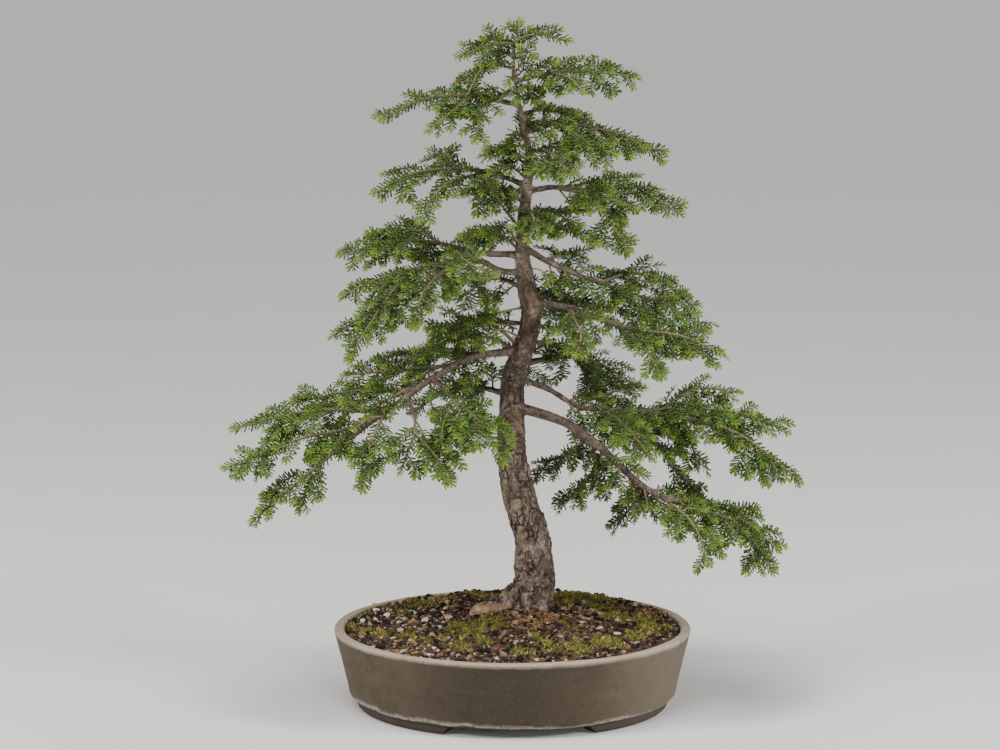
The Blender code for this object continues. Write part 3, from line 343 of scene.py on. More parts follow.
# Boughs that hang lower at their tips, that have slimmer wood, and whose needles are painted lighter than the
# rest (painted light in the crown's waist) or darker (painted shade under the low right boughs)
LOWERED = {"back_low_right": -0.012}
SLIMMER = {"left_low": 0.72, "right_long": 0.64, "right_mid": 0.75}
PAINTED_LIGHT_AND_SHADE = {
    "waist": 0.25, "right_low": -0.15, "right_low_inner_left": -0.12, "right_low_inner_mid": -0.12,
    "right_low_inner_right": -0.12, "right_long_under": -0.12,
}

# Small leafy growth inside the crown and in its gaps: zone, what it grows from, points
SMALL_BOUGHS = (
    ("crown", "trunk", ((.003, .002, .705), (-.008, -.008, .716), (-.019, -.016, .712))),
    ("crown", "trunk", ((.002, .002, .718), (.012, -.004, .73), (.022, -.012, .721))),
    ("crown", "trunk", ((.004, .003, .697), (.015, -.006, .709), (.026, -.014, .703))),
    ("crown", "trunk", ((.003, .003, .692), (-.002, -.014, .7), (-.005, -.02, .693))),
    ("crown", "right_top", ((.025, 0, .703), (.033, -.004, .718), (.045, -.01, .714))),
    ("crown", "left_top", ((-.048, -.008, .683), (-.037, -.002, .705), (-.023, .004, .717))),
    ("crown", "left_top", ((-.009, 0, .674), (-.018, -.006, .685), (-.033, -.012, .687))),
    ("crown", "left_top", ((-.014, 0, .675), (-.005, -.02, .686), (.004, -.03, .675))),
    ("crown", "trunk", ((.009, .006, .661), (.016, -.002, .677), (.018, -.004, .691))),
    ("crown", "trunk", ((.012, .006, .654), (.028, .004, .666), (.03, 0, .686))),
    ("crown", "trunk", ((.015, .008, .638), (.028, -.012, .647), (.04, -.024, .638))),
    ("crown", "trunk", ((.013, .008, .627), (.002, .002, .641), (-.005, -.006, .63))),
    ("crown", "trunk", ((.011, .008, .601), (-.008, 0, .621), (-.028, -.008, .615))),
    ("crown", "trunk", ((.011, .008, .588), (-.005, -.014, .605), (-.025, -.026, .596))),
    ("crown", "trunk", ((.017, .01, .586), (.034, .004, .605), (.053, -.004, .598))),
    ("waist", "trunk", ((.005, .01, .507), (-.019, .004, .529), (-.058, -.004, .527))),
    ("waist", "trunk", ((.006, .01, .516), (-.011, -.012, .538), (-.033, -.026, .535))),
    ("waist", "trunk", ((.016, .012, .529), (.032, .01, .55), (.053, .006, .552))),
    ("waist", "trunk", ((.016, .012, .522), (.033, -.008, .541), (.042, -.02, .529))),
    ("waist", "trunk", ((-.001, .01, .403), (-.034, .004, .433), (-.093, -.01, .425))),
    ("waist", "trunk", ((-.002, .01, .398), (-.036, .01, .416), (-.108, 0, .401))),
    ("waist", "trunk", ((.007, .01, .446), (-.014, 0, .443), (-.039, -.01, .435))),
    ("waist", "trunk", ((.001, .01, .414), (-.018, -.02, .427), (-.042, -.034, .413))),
    ("waist", "left_mid", ((-.028, 0, .489), (-.038, .006, .468), (-.016, .01, .452))),
    ("waist", "trunk", ((.03, .01, .456), (.048, .02, .474), (.074, .026, .475))),
    ("crown", "trunk", ((.003, .002, .703), (.011, -.01, .718), (.007, -.016, .732))),
    ("crown", "trunk", ((.004, .002, .714), (-.003, .008, .726), (-.012, .014, .722))),
    ("crown", "apex", ((.003, .001, .744), (-.003, 0, .754), (-.011, -.004, .75))),
    ("crown", "left_up", ((-.022, .005, .594), (-.035, -.01, .572), (-.04, -.015, .552))),
    ("crown", "right_crown", ((.03, .004, .647), (.042, -.01, .652), (.06, -.018, .645))),
    ("crown", "right_small", ((.045, -.026, .539), (.058, -.03, .547), (.075, -.034, .542))),
    ("waist", "trunk", ((.012, .01, .425), (.035, .004, .428), (.062, -.004, .418))),
    ("waist", "left_low", ((-.025, -.008, .397), (-.035, -.02, .386), (-.052, -.03, .37))),
    ("waist", "trunk", ((.012, .012, .488), (.028, .006, .49), (.044, .002, .478))),
    ("waist", "trunk", ((.008, .012, .522), (-.008, .004, .526), (-.026, -.002, .518))),
    ("leafy", "left_low_inner", ((-.066, -.062, .352), (-.074, -.08, .336), (-.078, -.092, .315))),
    ("leafy", "left_mid_top", ((-.115, .018, .518), (-.135, .005, .508), (-.16, -.005, .494))),
    ("leafy", "right_mid_low", ((.085, -.015, .441), (.1, .01, .448), (.13, .015, .439))),
    ("leafy", "right_low", ((.062, -.01, .318), (.07, .01, .295), (.079, .02, .272))),
    ("leafy", "right_low", ((.13, -.031, .268), (.138, -.03, .245), (.145, -.028, .22))),
    ("leafy", "right_long_low", ((.19, -.005, .325), (.198, -.01, .3), (.203, -.015, .272))),
    ("leafy", "left_mid", ((-.075, -.014, .498), (-.072, -.01, .475), (-.072, -.005, .457))),
    ("leafy", "right_long", ((.08, .02, .333), (.09, .01, .318), (.102, 0, .304))),
    ("leafy", "right_long", ((.11, .018, .33), (.118, .005, .312), (.126, -.005, .29))),
    ("leafy", "left_low_stem", ((-.112, -.095, .312), (-.125, -.097, .306), (-.14, -.098, .292))),
    ("leafy", "right_low", ((.17, -.044, .243), (.179, -.05, .222), (.185, -.052, .2))),
    ("leafy", "left_low", ((-.13, -.043, .348), (-.15, -.035, .352), (-.172, -.03, .345))),
    ("leafy", "right_long", ((.17, .01, .333), (.182, -.005, .318), (.192, -.012, .3))),
    ("leafy", "right_long_low", ((.262, -.033, .303), (.27, -.035, .28), (.275, -.036, .258))),
    ("leafy", "right_mid", ((.12, .015, .466), (.135, .02, .476), (.158, .02, .472))),
    ("leafy", "right_mid_low", ((.08, -.013, .442), (.095, -.018, .441), (.112, -.022, .435))),
    ("leafy", "trunk", ((.01, .01, .42), (.03, -.008, .427), (.046, -.018, .422))),
    ("leafy", "right_long", ((.24, .007, .331), (.255, 0, .322), (.272, -.004, .307))),
    ("leafy", "right_low", ((.085, -.018, .303), (.087, -.015, .288), (.082, -.01, .268))),
    ("leafy", "right_low_inner_left", ((.045, .058, .268), (.036, .066, .257), (.028, .072, .241))),
    ("leafy", "left_low_inner", ((-.058, -.075, .342), (-.066, -.092, .316), (-.074, -.098, .29))),
    ("leafy", "left_low_under", ((-.24, -.095, .262), (-.256, -.098, .256), (-.272, -.1, .243))),
    ("leafy", "left_low_hang", ((-.15, -.085, .32), (-.16, -.092, .305), (-.172, -.096, .291))),
    ("leafy", "left_mid_low_in", ((-.125, -.038, .475), (-.132, -.045, .45), (-.133, -.048, .431))),
    ("leafy", "right_low_inner_mid", ((.098, -.018, .285), (.094, -.01, .265), (.089, -.004, .244))),
    ("leafy", "right_long_top", ((.17, .016, .334), (.172, .012, .346), (.178, .004, .357))),
    ("crown", "right_crown", ((.05, 0, .65), (.06, -.006, .632), (.068, -.01, .61))),
    ("crown", "trunk", ((.006, .003, .672), (.014, -.008, .68), (.024, -.016, .672))),
    ("crown", "left_top", ((-.085, -.016, .678), (-.098, -.018, .676), (-.114, -.02, .667))),
    ("crown", "trunk", ((.012, .008, .608), (-.004, -.006, .618), (-.024, -.012, .613))),
)

# Openings between the sprays, measured on the photo: place across the tree, height, half width and half
# height, where the line of sight meets the trunk's plane. A shoot whose outer half would be seen in one is
# left out.
OPENINGS = (
    (.055, .727, .02, .007), (-.055, .71, .015, .006), (-.02, .697, .015, .007), (.058, .677, .022, .008),
    (-.015, .643, .02, .015), (.085, .597, .018, .007), (.005, .59, .01, .008), (.028, .588, .01, .006),
    (.03, .563, .012, .012), (-.055, .562, .025, .012), (.048, .562, .008, .01), (-.055, .537, .01, .006),
    (.083, .543, .018, .01), (-.072, .53, .018, .008), (.085, .502, .018, .006), (.043, .519, .014, .006),
    (.027, .496, .01, .006), (-.013, .495, .012, .004), (-.013, .472, .013, .01), (-.13, .495, .02, .006),
    (-.115, .415, .025, .01), (-.103, .345, .01, .012), (-.122, .317, .013, .018), (-.092, .317, .015, .007),
    (-.02, .348, .008, .02), (-.035, .272, .018, .02), (-.142, .312, .018, .008), (-.168, .304, .012, .006),
    (-.197, .273, .012, .008), (-.24, .27, .014, .008), (-.288, .305, .014, .008), (.035, .345, .018, .01),
    (.07, .376, .012, .01), (.027, .384, .01, .012), (.098, .408, .012, .008), (.108, .391, .008, .01),
    (.155, .357, .018, .012), (.185, .374, .018, .01), (.137, .387, .008, .012), (.175, .391, .012, .006),
    (.038, .3, .02, .018), (.067, .297, .012, .01), (.075, .262, .014, .007), (.1, .228, .02, .009),
    (.16, .255, .012, .009), (.208, .287, .014, .01), (.235, .242, .025, .015), (.283, .297, .012, .01),
    (.25, .18, .009, .01), (.197, .19, .006, .012), (-.105, .655, .025, .01), (-.195, .252, .018, .01),
    (-.135, .56, .018, .01), (-.093, .577, .012, .01), (.225, .36, .022, .007), (-.073, .337, .01, .007),
    (-.105, .688, .018, .007), (.117, .24, .007, .01), (.2, .172, .012, .01), (.25, .165, .012, .01),
)

# Boughs whose side shoots are shorter or longer than the rest's
FULLNESS = {
    "left_low_under": 0.75, "left_low_hang": 0.75, "left_low_fork": 0.8, "left_mid_low_in": 0.85,
    "left_mid_low_out": 0.65, "right_small": 0.75, "left_mid_hang": 0.8, "left_mid_front": 0.75,
    "left_top_front": 0.85, "left_top_low": 0.8, "right_top_low": 0.6, "right_up_front": 0.8,
    "right_mid_low_front": 0.8, "right_mid_low_drop": 0.8, "right_long_front": 0.9, "left_mid_top": 1.1,
    "left_mid_top_up": 1.1,
}

# Shoots with needles. The inner ones grow from a limb's bare wood, and the small ones from a side shoot.
CROWN_MIDDLE = 0.06
SPRAY_TURN = 0.40
HOST_RADIUS = 0.002
BARE_START = 0.004
WAIST_LEAFLESS = 0.25
AXIS_SPACING = 0.005
SHOOT_SPACING = 0.0094
SHOOT_LONGEST = 0.040
SHOOT_SHORTEST = 0.012
SHOOT_TAPER = 0.37
SHOOT_MARGIN = 0.012
SHOOT_BARE = 0.003
SHOOT_ANGLE = 48
SHOOT_ROLLS = (5, 16)
SHOOT_RADII = (0.00085, 0.00045)
SHOOT_DROOP = (0.05, 0.32)
SHOOT_POINTS = 6
SHOOT_WANDER = 0.04
SHOOT_BEND = 0.12
INNER_START = 0.45
INNER_SIZE = 0.7
INNER_LEAFLESS = (0.10, 0.50)
INNER_SHUFFLE = 431
INNER_ROLLS = (25, 30)
INNER_RADII = (0.0013, 0.0005)
HANGING_SHARE = 0.13
HANGING_SIZE = 0.85
HANG = np.array((0.0, -0.15, -1.0))
SMALL_SPACING = 0.0108
SMALL_LONGEST = 0.026
SMALL_SHORTEST = 0.010
SMALL_TAPER = 0.45
SMALL_MARGIN = 0.014
SMALL_BARE = 0.0025
SMALL_ANGLE = 46
SMALL_ROLLS = (0, 14)
SMALL_RADII = (0.0006, 0.0004)
SMALL_DROOP = (0.05, 0.35)

# Needles. Their corners are shares of the length, half the width and the ridge: three at the base, two near
# the blunt tip, and the tip.
NEEDLE_SPACING = 0.00094
NEEDLE_LENGTH = 0.0090
NEEDLE_WIDTH = 0.0020
NEEDLE_RIDGE = 0.0005
NEEDLE_LEAN = 60
NEEDLE_COMBING = 0.4
NEEDLE_RISE = (0.40, 0.14)
NEEDLE_CORNERS = np.array(((0.03, 0.0, 1.0), (0.03, 0.72, 0.0), (0.03, -0.72, 0.0), (0.84, 1.0, 0.0),
                           (0.84, -1.0, 0.0), (1.0, 0.0, 0.1)))
NEEDLE_FACES = np.array(((0, 1, 3), (0, 3, 5), (0, 5, 4), (0, 4, 2), (1, 2, 4), (1, 4, 5), (1, 5, 3)))
NEEDLE_UNDERSIDE = np.repeat((0.0, 1.0), (12, 9))
NEEDLE_ALONG = NEEDLE_CORNERS[NEEDLE_FACES.ravel(), 0]
TIP_CROWDING = 1.3
TIP_CROWD_REACH = 0.005
TIP_LEAN = 34
TIP_LEAN_REACH = 0.0030
SHORT_REACH = 0.006
FRESH_REACH = 0.0056
GOLDEN_TURN = 137.5

# A shoot: its path, its radii at root and tip, its length without needles, its youth, the direction of its
# upper side, and its shade, partly its own and partly its bough's painted light or shade
Shoot = namedtuple("Shoot", "path radii bare youth upper shade")


# Paths

def unit(vectors):
    """Vectors of length one, for one vector or for rows of them."""
    return vectors / np.maximum(np.linalg.norm(vectors, axis=-1, keepdims=True), 1e-12)


def smooth_path(points):
    """Points close together along a smooth curve through the given ones."""
    knots = np.array(points, float)
    ends = np.vstack((2 * knots[0] - knots[1], knots, 2 * knots[-1] - knots[-2]))
    path = [knots[0]]
    for before, start, end, after in zip(ends, ends[1:], ends[2:], ends[3:]):
        count = max(2, round(float(np.linalg.norm((end - start)[:3])) / PATH_STEP))
        for t in np.arange(1, count + 1) / count:
            path.append(0.5 * (2 * start + (end - before) * t
                               + (2 * before - 5 * start + 4 * end - after) * t ** 2
                               + (3 * start - before - 3 * end + after) * t ** 3))
    return np.array(path)


def distances(path):
    """How far along the path each of its points lies."""
    return np.concatenate(((0.0,), np.cumsum(np.linalg.norm(np.diff(path[:, :3], axis=0), axis=1))))


def along(path, places):
    """The points of the path at distances from its start."""
    reach = distances(path)
    return np.stack([np.interp(places, reach, path[:, axis]) for axis in range(path.shape[1])], axis=-1)


def heading(path, places, span=0.003):
    """The directions of the path at distances from its start."""
    length = distances(path)[-1]
    ahead = along(path, np.minimum(np.add(places, span), length))
    behind = along(path, np.maximum(np.subtract(places, span), 0.0))
    return unit(ahead[..., :3] - behind[..., :3])


def stretch(path, start, end, segment):
    """The part of the path between two distances, in even segments."""
    count = max(1, round((end - start) / segment))
    return along(path, np.linspace(start, end, count + 1))


def nearest_place(path, point):
    """How far along the path lies its nearest point to the given one, to within a step."""
    places = np.arange(0, distances(path)[-1], NEAREST_STEP)
    gaps = np.linalg.norm(along(path, places)[:, :3] - point, axis=1)
    return places[int(np.argmin(gaps))]


def sideways(forward, up=UP):
    """Unit vectors across the directions and above them."""
    across = unit(np.cross(up, forward))
    return across, np.cross(forward, across)


# Noise

def value_noise(points, seed):
    """Smooth noise from -1 to 1 at the points, with one lattice cell a unit."""
    cell = np.floor(points).astype(np.int64)
    share = points - cell
    share = share * share * (3 - 2 * share)
    total = np.zeros(len(points))
    for corner in itertools.product((0, 1), repeat=3):
        weight = np.prod(np.where(np.array(corner, bool), share, 1 - share), axis=1)
        total += weight * (hashed(cell + corner, seed) * 2 - 1)
    return total


def hashed(cells, seed):
    """A fixed random number from 0 to 1 for each lattice cell, mixed by large odd factors."""
    key = cells @ np.array((73856093, 19349663, 83492791)) + seed * 26544357
    key = ((key ^ (key >> 13)) * 1274126177) & 0xffffffff
    key = ((key ^ (key >> 15)) * 668265263) & 0xffffffff
    return ((key ^ (key >> 16)) & 0xffff) / 65535.0


def fractal(points, octaves, seed):
    """Noise summed over finer and finer lattices."""
    total = np.zeros(len(points))
    for octave in range(octaves):
        total += value_noise(points * 2 ** octave, seed + octave) / 2 ** octave
    return total


def relief(points, layers):
    """How far the points rise by the layers of noise, each with its height, size, octaves and seed."""
    return sum(rise * fractal(points / size, octaves, seed) for rise, size, octaves, seed in layers)


def cells(points, seed):
    """For each point, how far inside its cell it lies (0 at a border) and the cell's own random number."""
    base = np.floor(points).astype(np.int64)
    first = np.full(len(points), 9.0)
    second = np.full(len(points), 9.0)
    own = np.zeros(len(points))
    for corner in itertools.product((-1, 0, 1), repeat=3):
        cell = base + corner
        spot = cell + np.stack([hashed(cell, seed + axis) for axis in range(3)], axis=1)
        gap = np.linalg.norm(points - spot, axis=1)
        nearer = gap < first
        second = np.where(nearer, first, np.minimum(second, gap))
        own = np.where(nearer, hashed(cell, seed + 3), own)
        first = np.where(nearer, gap, first)
    return second - first, own


def step(values, low, high):
    """A smooth rise from 0 at low to 1 at high."""
    share = np.clip((values - low) / (high - low), 0, 1)
    return share * share * (3 - 2 * share)


# Meshes

def make_mesh(name, verts, faces):
    """A mesh from an array of points and a list of arrays of faces, each with its own number of corners."""
    mesh = bpy.data.meshes.new(name)
    corners = np.concatenate([part.ravel() for part in faces])
    sizes = np.concatenate([np.full(len(part), part.shape[1]) for part in faces])
    mesh.vertices.add(len(verts))
    mesh.vertices.foreach_set("co", np.asarray(verts, np.float32).ravel())
    mesh.loops.add(len(corners))
    mesh.loops.foreach_set("vertex_index", corners.astype(np.int32))
    mesh.polygons.add(len(sizes))
    mesh.polygons.foreach_set("loop_start", np.concatenate(((0,), np.cumsum(sizes)[:-1])).astype(np.int32))
    mesh.update(calc_edges=True)
    mesh.validate()
    mesh.shade_smooth()
    return mesh


def read_vectors(rows, field):
    """One vector of each vertex, as rows of an array."""
    vectors = np.empty(len(rows) * 3, np.float32)
    rows.foreach_get(field, vectors)
    return vectors.reshape(-1, 3).astype(float)


def push_out(mesh, rise):
    """Moves each point along its normal."""
    points = read_vectors(mesh.vertices, "co") + read_vectors(mesh.vertex_normals, "vector") * rise[:, None]
    mesh.vertices.foreach_set("co", points.astype(np.float32).ravel())
    mesh.update()


def tone(mesh, values, domain="POINT"):
    """Stores four numbers a vertex, or a corner of a face, which the materials read."""
    layer = mesh.attributes.new("tone", "FLOAT_COLOR", domain)
    layer.data.foreach_set("color", values.astype(np.float32).ravel())


def gather(parts):
    """One set of points, faces by corner count, and values from several."""
    verts, values, faces = [], [], {}
    start = 0
    for points, own_faces, own_values in parts:
        for part in own_faces:
            faces.setdefault(part.shape[1], []).append(part + start)
        verts.append(points)
        values.append(own_values)
        start += len(points)
    return np.concatenate(verts), [np.concatenate(part) for part in faces.values()], np.concatenate(values)


def ring_faces(rows, count):
    """Faces with four corners between closed rings of points."""
    ring = np.arange(count)
    after = (ring + 1) % count
    starts = np.arange(rows - 1)[:, None] * count
    quads = np.stack((starts + ring, starts + after, starts + count + after, starts + count + ring), axis=-1)
    return quads.reshape(-1, 4)


def body_faces(rows, count):
    """The faces of a closed body: its rings, and a middle point for the first and for the last of them."""
    ring = np.arange(count)
    after = (ring + 1) % count
    last = (rows - 1) * count
    near = np.stack((after, ring, np.full(count, rows * count)), axis=-1)
    far = np.stack((last + ring, last + after, np.full(count, rows * count + 1)), axis=-1)
    return [ring_faces(rows, count), np.concatenate((near, far))]


def repeated(faces, count, corners):
    """The faces of one shape, for many copies of its points."""
    return (faces + np.arange(count)[:, None, None] * corners).reshape(-1, faces.shape[1])


def tube(path, radii, sides, values=(0, 0, 0, 0)):
    """A closed tube along the path, whose frame turns no more than the path does."""
    path = path[:, :3]
    radii = np.broadcast_to(radii, len(path))
    forward = unit(np.gradient(path, axis=0))
    across = np.cross(forward[0], (0.0, 1.0, 0.0) if abs(forward[0][1]) < 0.9 else (1.0, 0.0, 0.0))
    rings = []
    angles = np.linspace(0, 2 * math.pi, sides, endpoint=False)
    for point, direction, radius in zip(path, forward, radii):
        across = unit(across - direction * (across @ direction))
        above = np.cross(direction, across)
        rings.append(point + radius * (np.cos(angles)[:, None] * across + np.sin(angles)[:, None] * above))
    verts = np.concatenate((*rings, path[:1], path[-1:]))
    return verts, body_faces(len(path), sides), np.tile(values, (len(verts), 1))


def place(mesh, name, material, slot, *nodes):
    """Adds a piece that rides on the frame and stands for the given nodes."""
    mesh.transform(Matrix.Translation(POT_MIDDLE))
    piece = bpy.data.objects.new(name, mesh)
    bpy.context.scene.collection.objects.link(piece)
    mesh.materials.clear()
    mesh.materials.append(material)
    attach(piece, "root")
    if nodes:
        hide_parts(*nodes)
    return piece


def add_piece(name, verts, faces, values, material, slot, *nodes, domain="POINT"):
    """Makes a piece from its points, faces and stored numbers, and places it."""
    mesh = make_mesh(name, verts, faces)
    tone(mesh, values, domain)
    return place(mesh, name, material, slot, *nodes)


def evaluated(mesh, *modifiers):
    """The mesh with modifiers applied, each a type and its settings."""
    obj = bpy.data.objects.new("shape", mesh)
    bpy.context.scene.collection.objects.link(obj)
    for kind, settings in modifiers:
        modifier = obj.modifiers.new(kind.lower(), kind)
        for key, value in settings.items():
            setattr(modifier, key, value)
    bpy.context.view_layer.update()
    result = bpy.data.meshes.new_from_object(obj.evaluated_get(bpy.context.evaluated_depsgraph_get()))
    bpy.data.objects.remove(obj)
    bpy.data.meshes.remove(mesh)
    return result


# Materials

class Look:
    """A material in the making: its nodes, the surface point's place in metres, and the colour so far."""

    def __init__(self, name):
        self.material = bpy.data.materials.new(name)
        self.material.use_nodes = True
        self.tree = self.material.node_tree
        self.place = self.node("TexCoord").outputs["Object"]
        self.colour = None

    def feed(self, item, inputs):
        """Sets inputs of a node, or links them to other nodes."""
        for key, value in inputs.items():
            if isinstance(value, bpy.types.NodeSocket):
                self.tree.links.new(value, item.inputs[key])
            else:
                item.inputs[key].default_value = value

    def node(self, kind, inputs=None, **settings):
        item = self.tree.nodes.new("ShaderNode" + kind)
        for key, value in settings.items():
            setattr(item, key, value)
        self.feed(item, inputs or {})
        return item

    def stored(self):
        """The mesh's four numbers at the surface point: three from the colour and one from its alpha."""
        item = self.node("Attribute", attribute_name="tone")
        parts = self.node("SeparateColor", {"Color": item.outputs["Color"]})
        return [*parts.outputs[:3], item.outputs["Alpha"]]

    def noise(self, scale, detail=4.0, roughness=0.55, distortion=0.0, vector=None):
        inputs = {"Vector": self.place if vector is None else vector, "Scale": scale, "Detail": detail,
                  "Roughness": roughness, "Distortion": distortion}
        return self.node("TexNoise", inputs).outputs["Fac"]

    def stretched(self, vector, scale):
        return self.node("Mapping", {"Vector": vector, "Scale": scale}).outputs["Vector"]

    def cell_tone(self, vector, scale):
        """A random number for each cell of a pattern of plates."""
        item = self.node("TexVoronoi", {"Vector": vector, "Scale": scale})
        return self.node("SeparateColor", {"Color": item.outputs["Color"]}).outputs[0]

    def spread(self, value, low, high, first=0.0, last=1.0):
        """The value carried from one range to another, and kept inside it."""
        inputs = {"Value": value, "From Min": low, "From Max": high, "To Min": first, "To Max": last}
        return self.node("MapRange", inputs).outputs["Result"]

    def math(self, operation, first, second=0.0):
        return self.node("Math", {0: first, 1: second}, operation=operation).outputs[0]

    def times(self, *values):
        return functools.reduce(lambda first, second: self.math("MULTIPLY", first, second), values)

    def plus(self, *values):
        return functools.reduce(lambda first, second: self.math("ADD", first, second), values)

    def minus(self, first, second):
        return self.math("SUBTRACT", first, second)

    def mix(self, share, first, second, kind="MIX"):
        """A mix of two colours."""
        pair = [(*value, 1.0) if isinstance(value, tuple) else value for value in (first, second)]
        inputs = {0: share, 6: pair[0], 7: pair[1]}
        return self.node("Mix", inputs, data_type="RGBA", blend_type=kind).outputs[2]

    def paint(self, share, colour):
        """Lays a colour over the one so far."""
        self.colour = self.mix(share, self.colour, colour)

    def finish(self, roughness, specular=0.5, height=None, depth=0.0):
        """The material with its colour, its gloss and, where a height is given, its fine relief."""
        inputs = {"Base Color": self.colour, "Roughness": roughness, "Specular IOR Level": specular}
        if height is not None:
            inputs["Normal"] = self.node("Bump", {"Height": height, "Distance": depth}).outputs["Normal"]
        self.feed(self.tree.nodes["Principled BSDF"], inputs)
        return self.material


def needle_material():
    """Stored numbers: underside, place along the needle, the needle's own shade with its bough's painted
    light or shade, and its youth.
    """
    look = Look("hemlock_needles")
    under, tip, own, youth = look.stored()
    old = look.mix(own, (0.004, 0.018, 0.001), (0.079, 0.158, 0.015))
    mottled = look.mix(look.spread(look.noise(30.0, 2.0), 0.4, 0.7), old, (0.034, 0.086, 0.010))
    fresh = look.mix(tip, (0.098, 0.192, 0.012), (0.262, 0.385, 0.030))
    look.colour = look.mix(youth, mottled, fresh)
    # Painted highlight: each needle lighter towards its tip
    look.paint(look.times(tip, 0.18), (0.165, 0.250, 0.050))
    look.paint(look.times(under, 0.6), (0.084, 0.138, 0.034))
    return look.finish(look.spread(under, 0.0, 1.0, 0.30, 0.60), 0.42)


def twig_material():
    """Stored numbers: age, and the twig's own shade."""
    look = Look("hemlock_twigs")
    age, own = look.stored()[:2]
    rough = look.noise(900.0, 3.0)
    young = look.mix(own, (0.220, 0.145, 0.050), (0.380, 0.290, 0.105))
    old = look.mix(own, (0.120, 0.085, 0.060), (0.220, 0.165, 0.120))
    look.colour = look.mix(age, young, old)
    look.paint(look.spread(rough, 0.35, 0.65, 0.0, 0.45), (0.055, 0.034, 0.018))
    return look.finish(0.75, height=rough, depth=0.0003)


def bark_material():
    """Stored numbers: painted shade in the crevices, the plate's own shade, and how much of it is root or
    thin limb.
    """
    look = Look("hemlock_bark")
    crevice_shade, own, root, thin = look.stored()
    height = look.node("SeparateXYZ", {"Vector": look.place}).outputs["Z"]
    wide = look.noise(32.0, 4.0)
    middling = look.noise(130.0, 5.0, 0.6)
    fine = look.noise(520.0, 6.0, 0.7)
    shift = look.node("TexNoise", {"Vector": look.place, "Scale": 75.0, "Detail": 4.0}).outputs["Color"]
    shifted = {0: shift, 1: (0.014, 0.014, 0.014), 2: look.place}
    bent = look.node("VectorMath", shifted, operation="MULTIPLY_ADD").outputs[0]
    squeezed = look.stretched(bent, (1.0, 1.0, 0.55))
    edge = look.node("TexVoronoi", {"Vector": squeezed, "Scale": 88.0}, feature="DISTANCE_TO_EDGE")
    flakes = look.cell_tone(squeezed, 200.0)
    rings = look.noise(1.0, 4.0, vector=look.stretched(look.place, (70.0, 70.0, 330.0)))

    # Plates of bark, paler and redder low down
    look.colour = look.mix(own, (0.115, 0.073, 0.050), (0.520, 0.368, 0.268))
    middle = look.mix(own, (0.066, 0.043, 0.022), (0.186, 0.130, 0.070))
    high = look.mix(own, (0.080, 0.056, 0.037), (0.198, 0.148, 0.103))
    look.paint(look.spread(height, 0.22, 0.34), middle)
    look.paint(look.spread(height, 0.44, 0.52), high)
    # Paler bark inside the crown, painted lighter still as painted light where the foliage shades the trunk
    look.paint(look.spread(height, 0.51, 0.58, 0.0, 0.85), (0.420, 0.345, 0.240))
    look.paint(thin, look.mix(middling, (0.095, 0.068, 0.048), (0.300, 0.232, 0.178)))
    bare = look.mix(look.spread(middling, 0.35, 0.65), (0.330, 0.175, 0.095), (0.700, 0.420, 0.255))
    look.paint(root, bare)
    skin = look.minus(1.0, look.times(root, 0.8))
    darker = look.spread(look.cell_tone(squeezed, 88.0), 0.50, 0.80, 0.0, 0.60)
    look.paint(look.times(darker, skin), (0.105, 0.068, 0.050))
    look.paint(look.times(look.spread(flakes, 0.2, 1.0, 0.0, 0.40), skin), (0.070, 0.046, 0.034))

    # Pale patches, scars, algae, lifted layers with a painted shadow along one edge, and cracks and crevices
    # with painted shade in them
    pale = look.times(look.spread(wide, 0.45, 0.62), look.spread(middling, 0.50, 0.62),
                      look.spread(thin, 0.0, 1.0, 0.8, 0.3))
    look.paint(pale, (0.600, 0.500, 0.410))
    scar = look.times(look.spread(rings, 0.58, 0.63), look.spread(height, 0.18, 0.30), 0.75)
    look.paint(scar, (0.040, 0.026, 0.020))
    green = look.times(look.spread(look.noise(24.0, 3.0, 0.6, 0.4), 0.57, 0.68),
                       look.spread(fine, 0.38, 0.60, 0.0, 0.6))
    look.paint(green, (0.290, 0.290, 0.150))
    worn = look.times(look.spread(height, 0.28, 0.46, 1.0, 0.35), look.minus(1.0, look.times(root, 0.85)),
                      look.spread(thin, 0.0, 1.0, 1.0, 0.5))
    layer = look.times(look.noise(62.0, 4.0, vector=squeezed), 5.5)
    drop = look.math("FRACT", layer)
    look.paint(look.times(look.spread(drop, 0.66, 0.96, 0.0, 0.55), worn), (0.560, 0.450, 0.360))
    # Painted shadow along one edge of each lifted layer
    look.paint(look.times(look.spread(drop, 0.04, 0.24, 0.92, 0.0), worn), (0.030, 0.019, 0.014))
    # Painted shade in the cracks, which also sink the bump
    crack = look.times(look.spread(edge.outputs["Distance"], 0.02, 0.10, 1.0, 0.0),
                       look.spread(look.noise(60.0, 3.0), 0.47, 0.55, 0.0, 0.95), worn)
    look.paint(crack, (0.022, 0.014, 0.011))
    look.paint(look.spread(fine, 0.34, 0.54, 0.50, 0.0), (0.045, 0.030, 0.022))
    # Painted shade in the crevices
    look.paint(crevice_shade, (0.016, 0.010, 0.008))
    steps = look.times(look.math("FLOOR", layer), worn, 0.45)
    relief = look.plus(look.minus(look.plus(fine, rings), crack), steps, look.times(flakes, 0.5), middling)
    return look.finish(look.spread(fine, 0.3, 0.7, 0.62, 0.88), 0.40, relief, 0.0016)


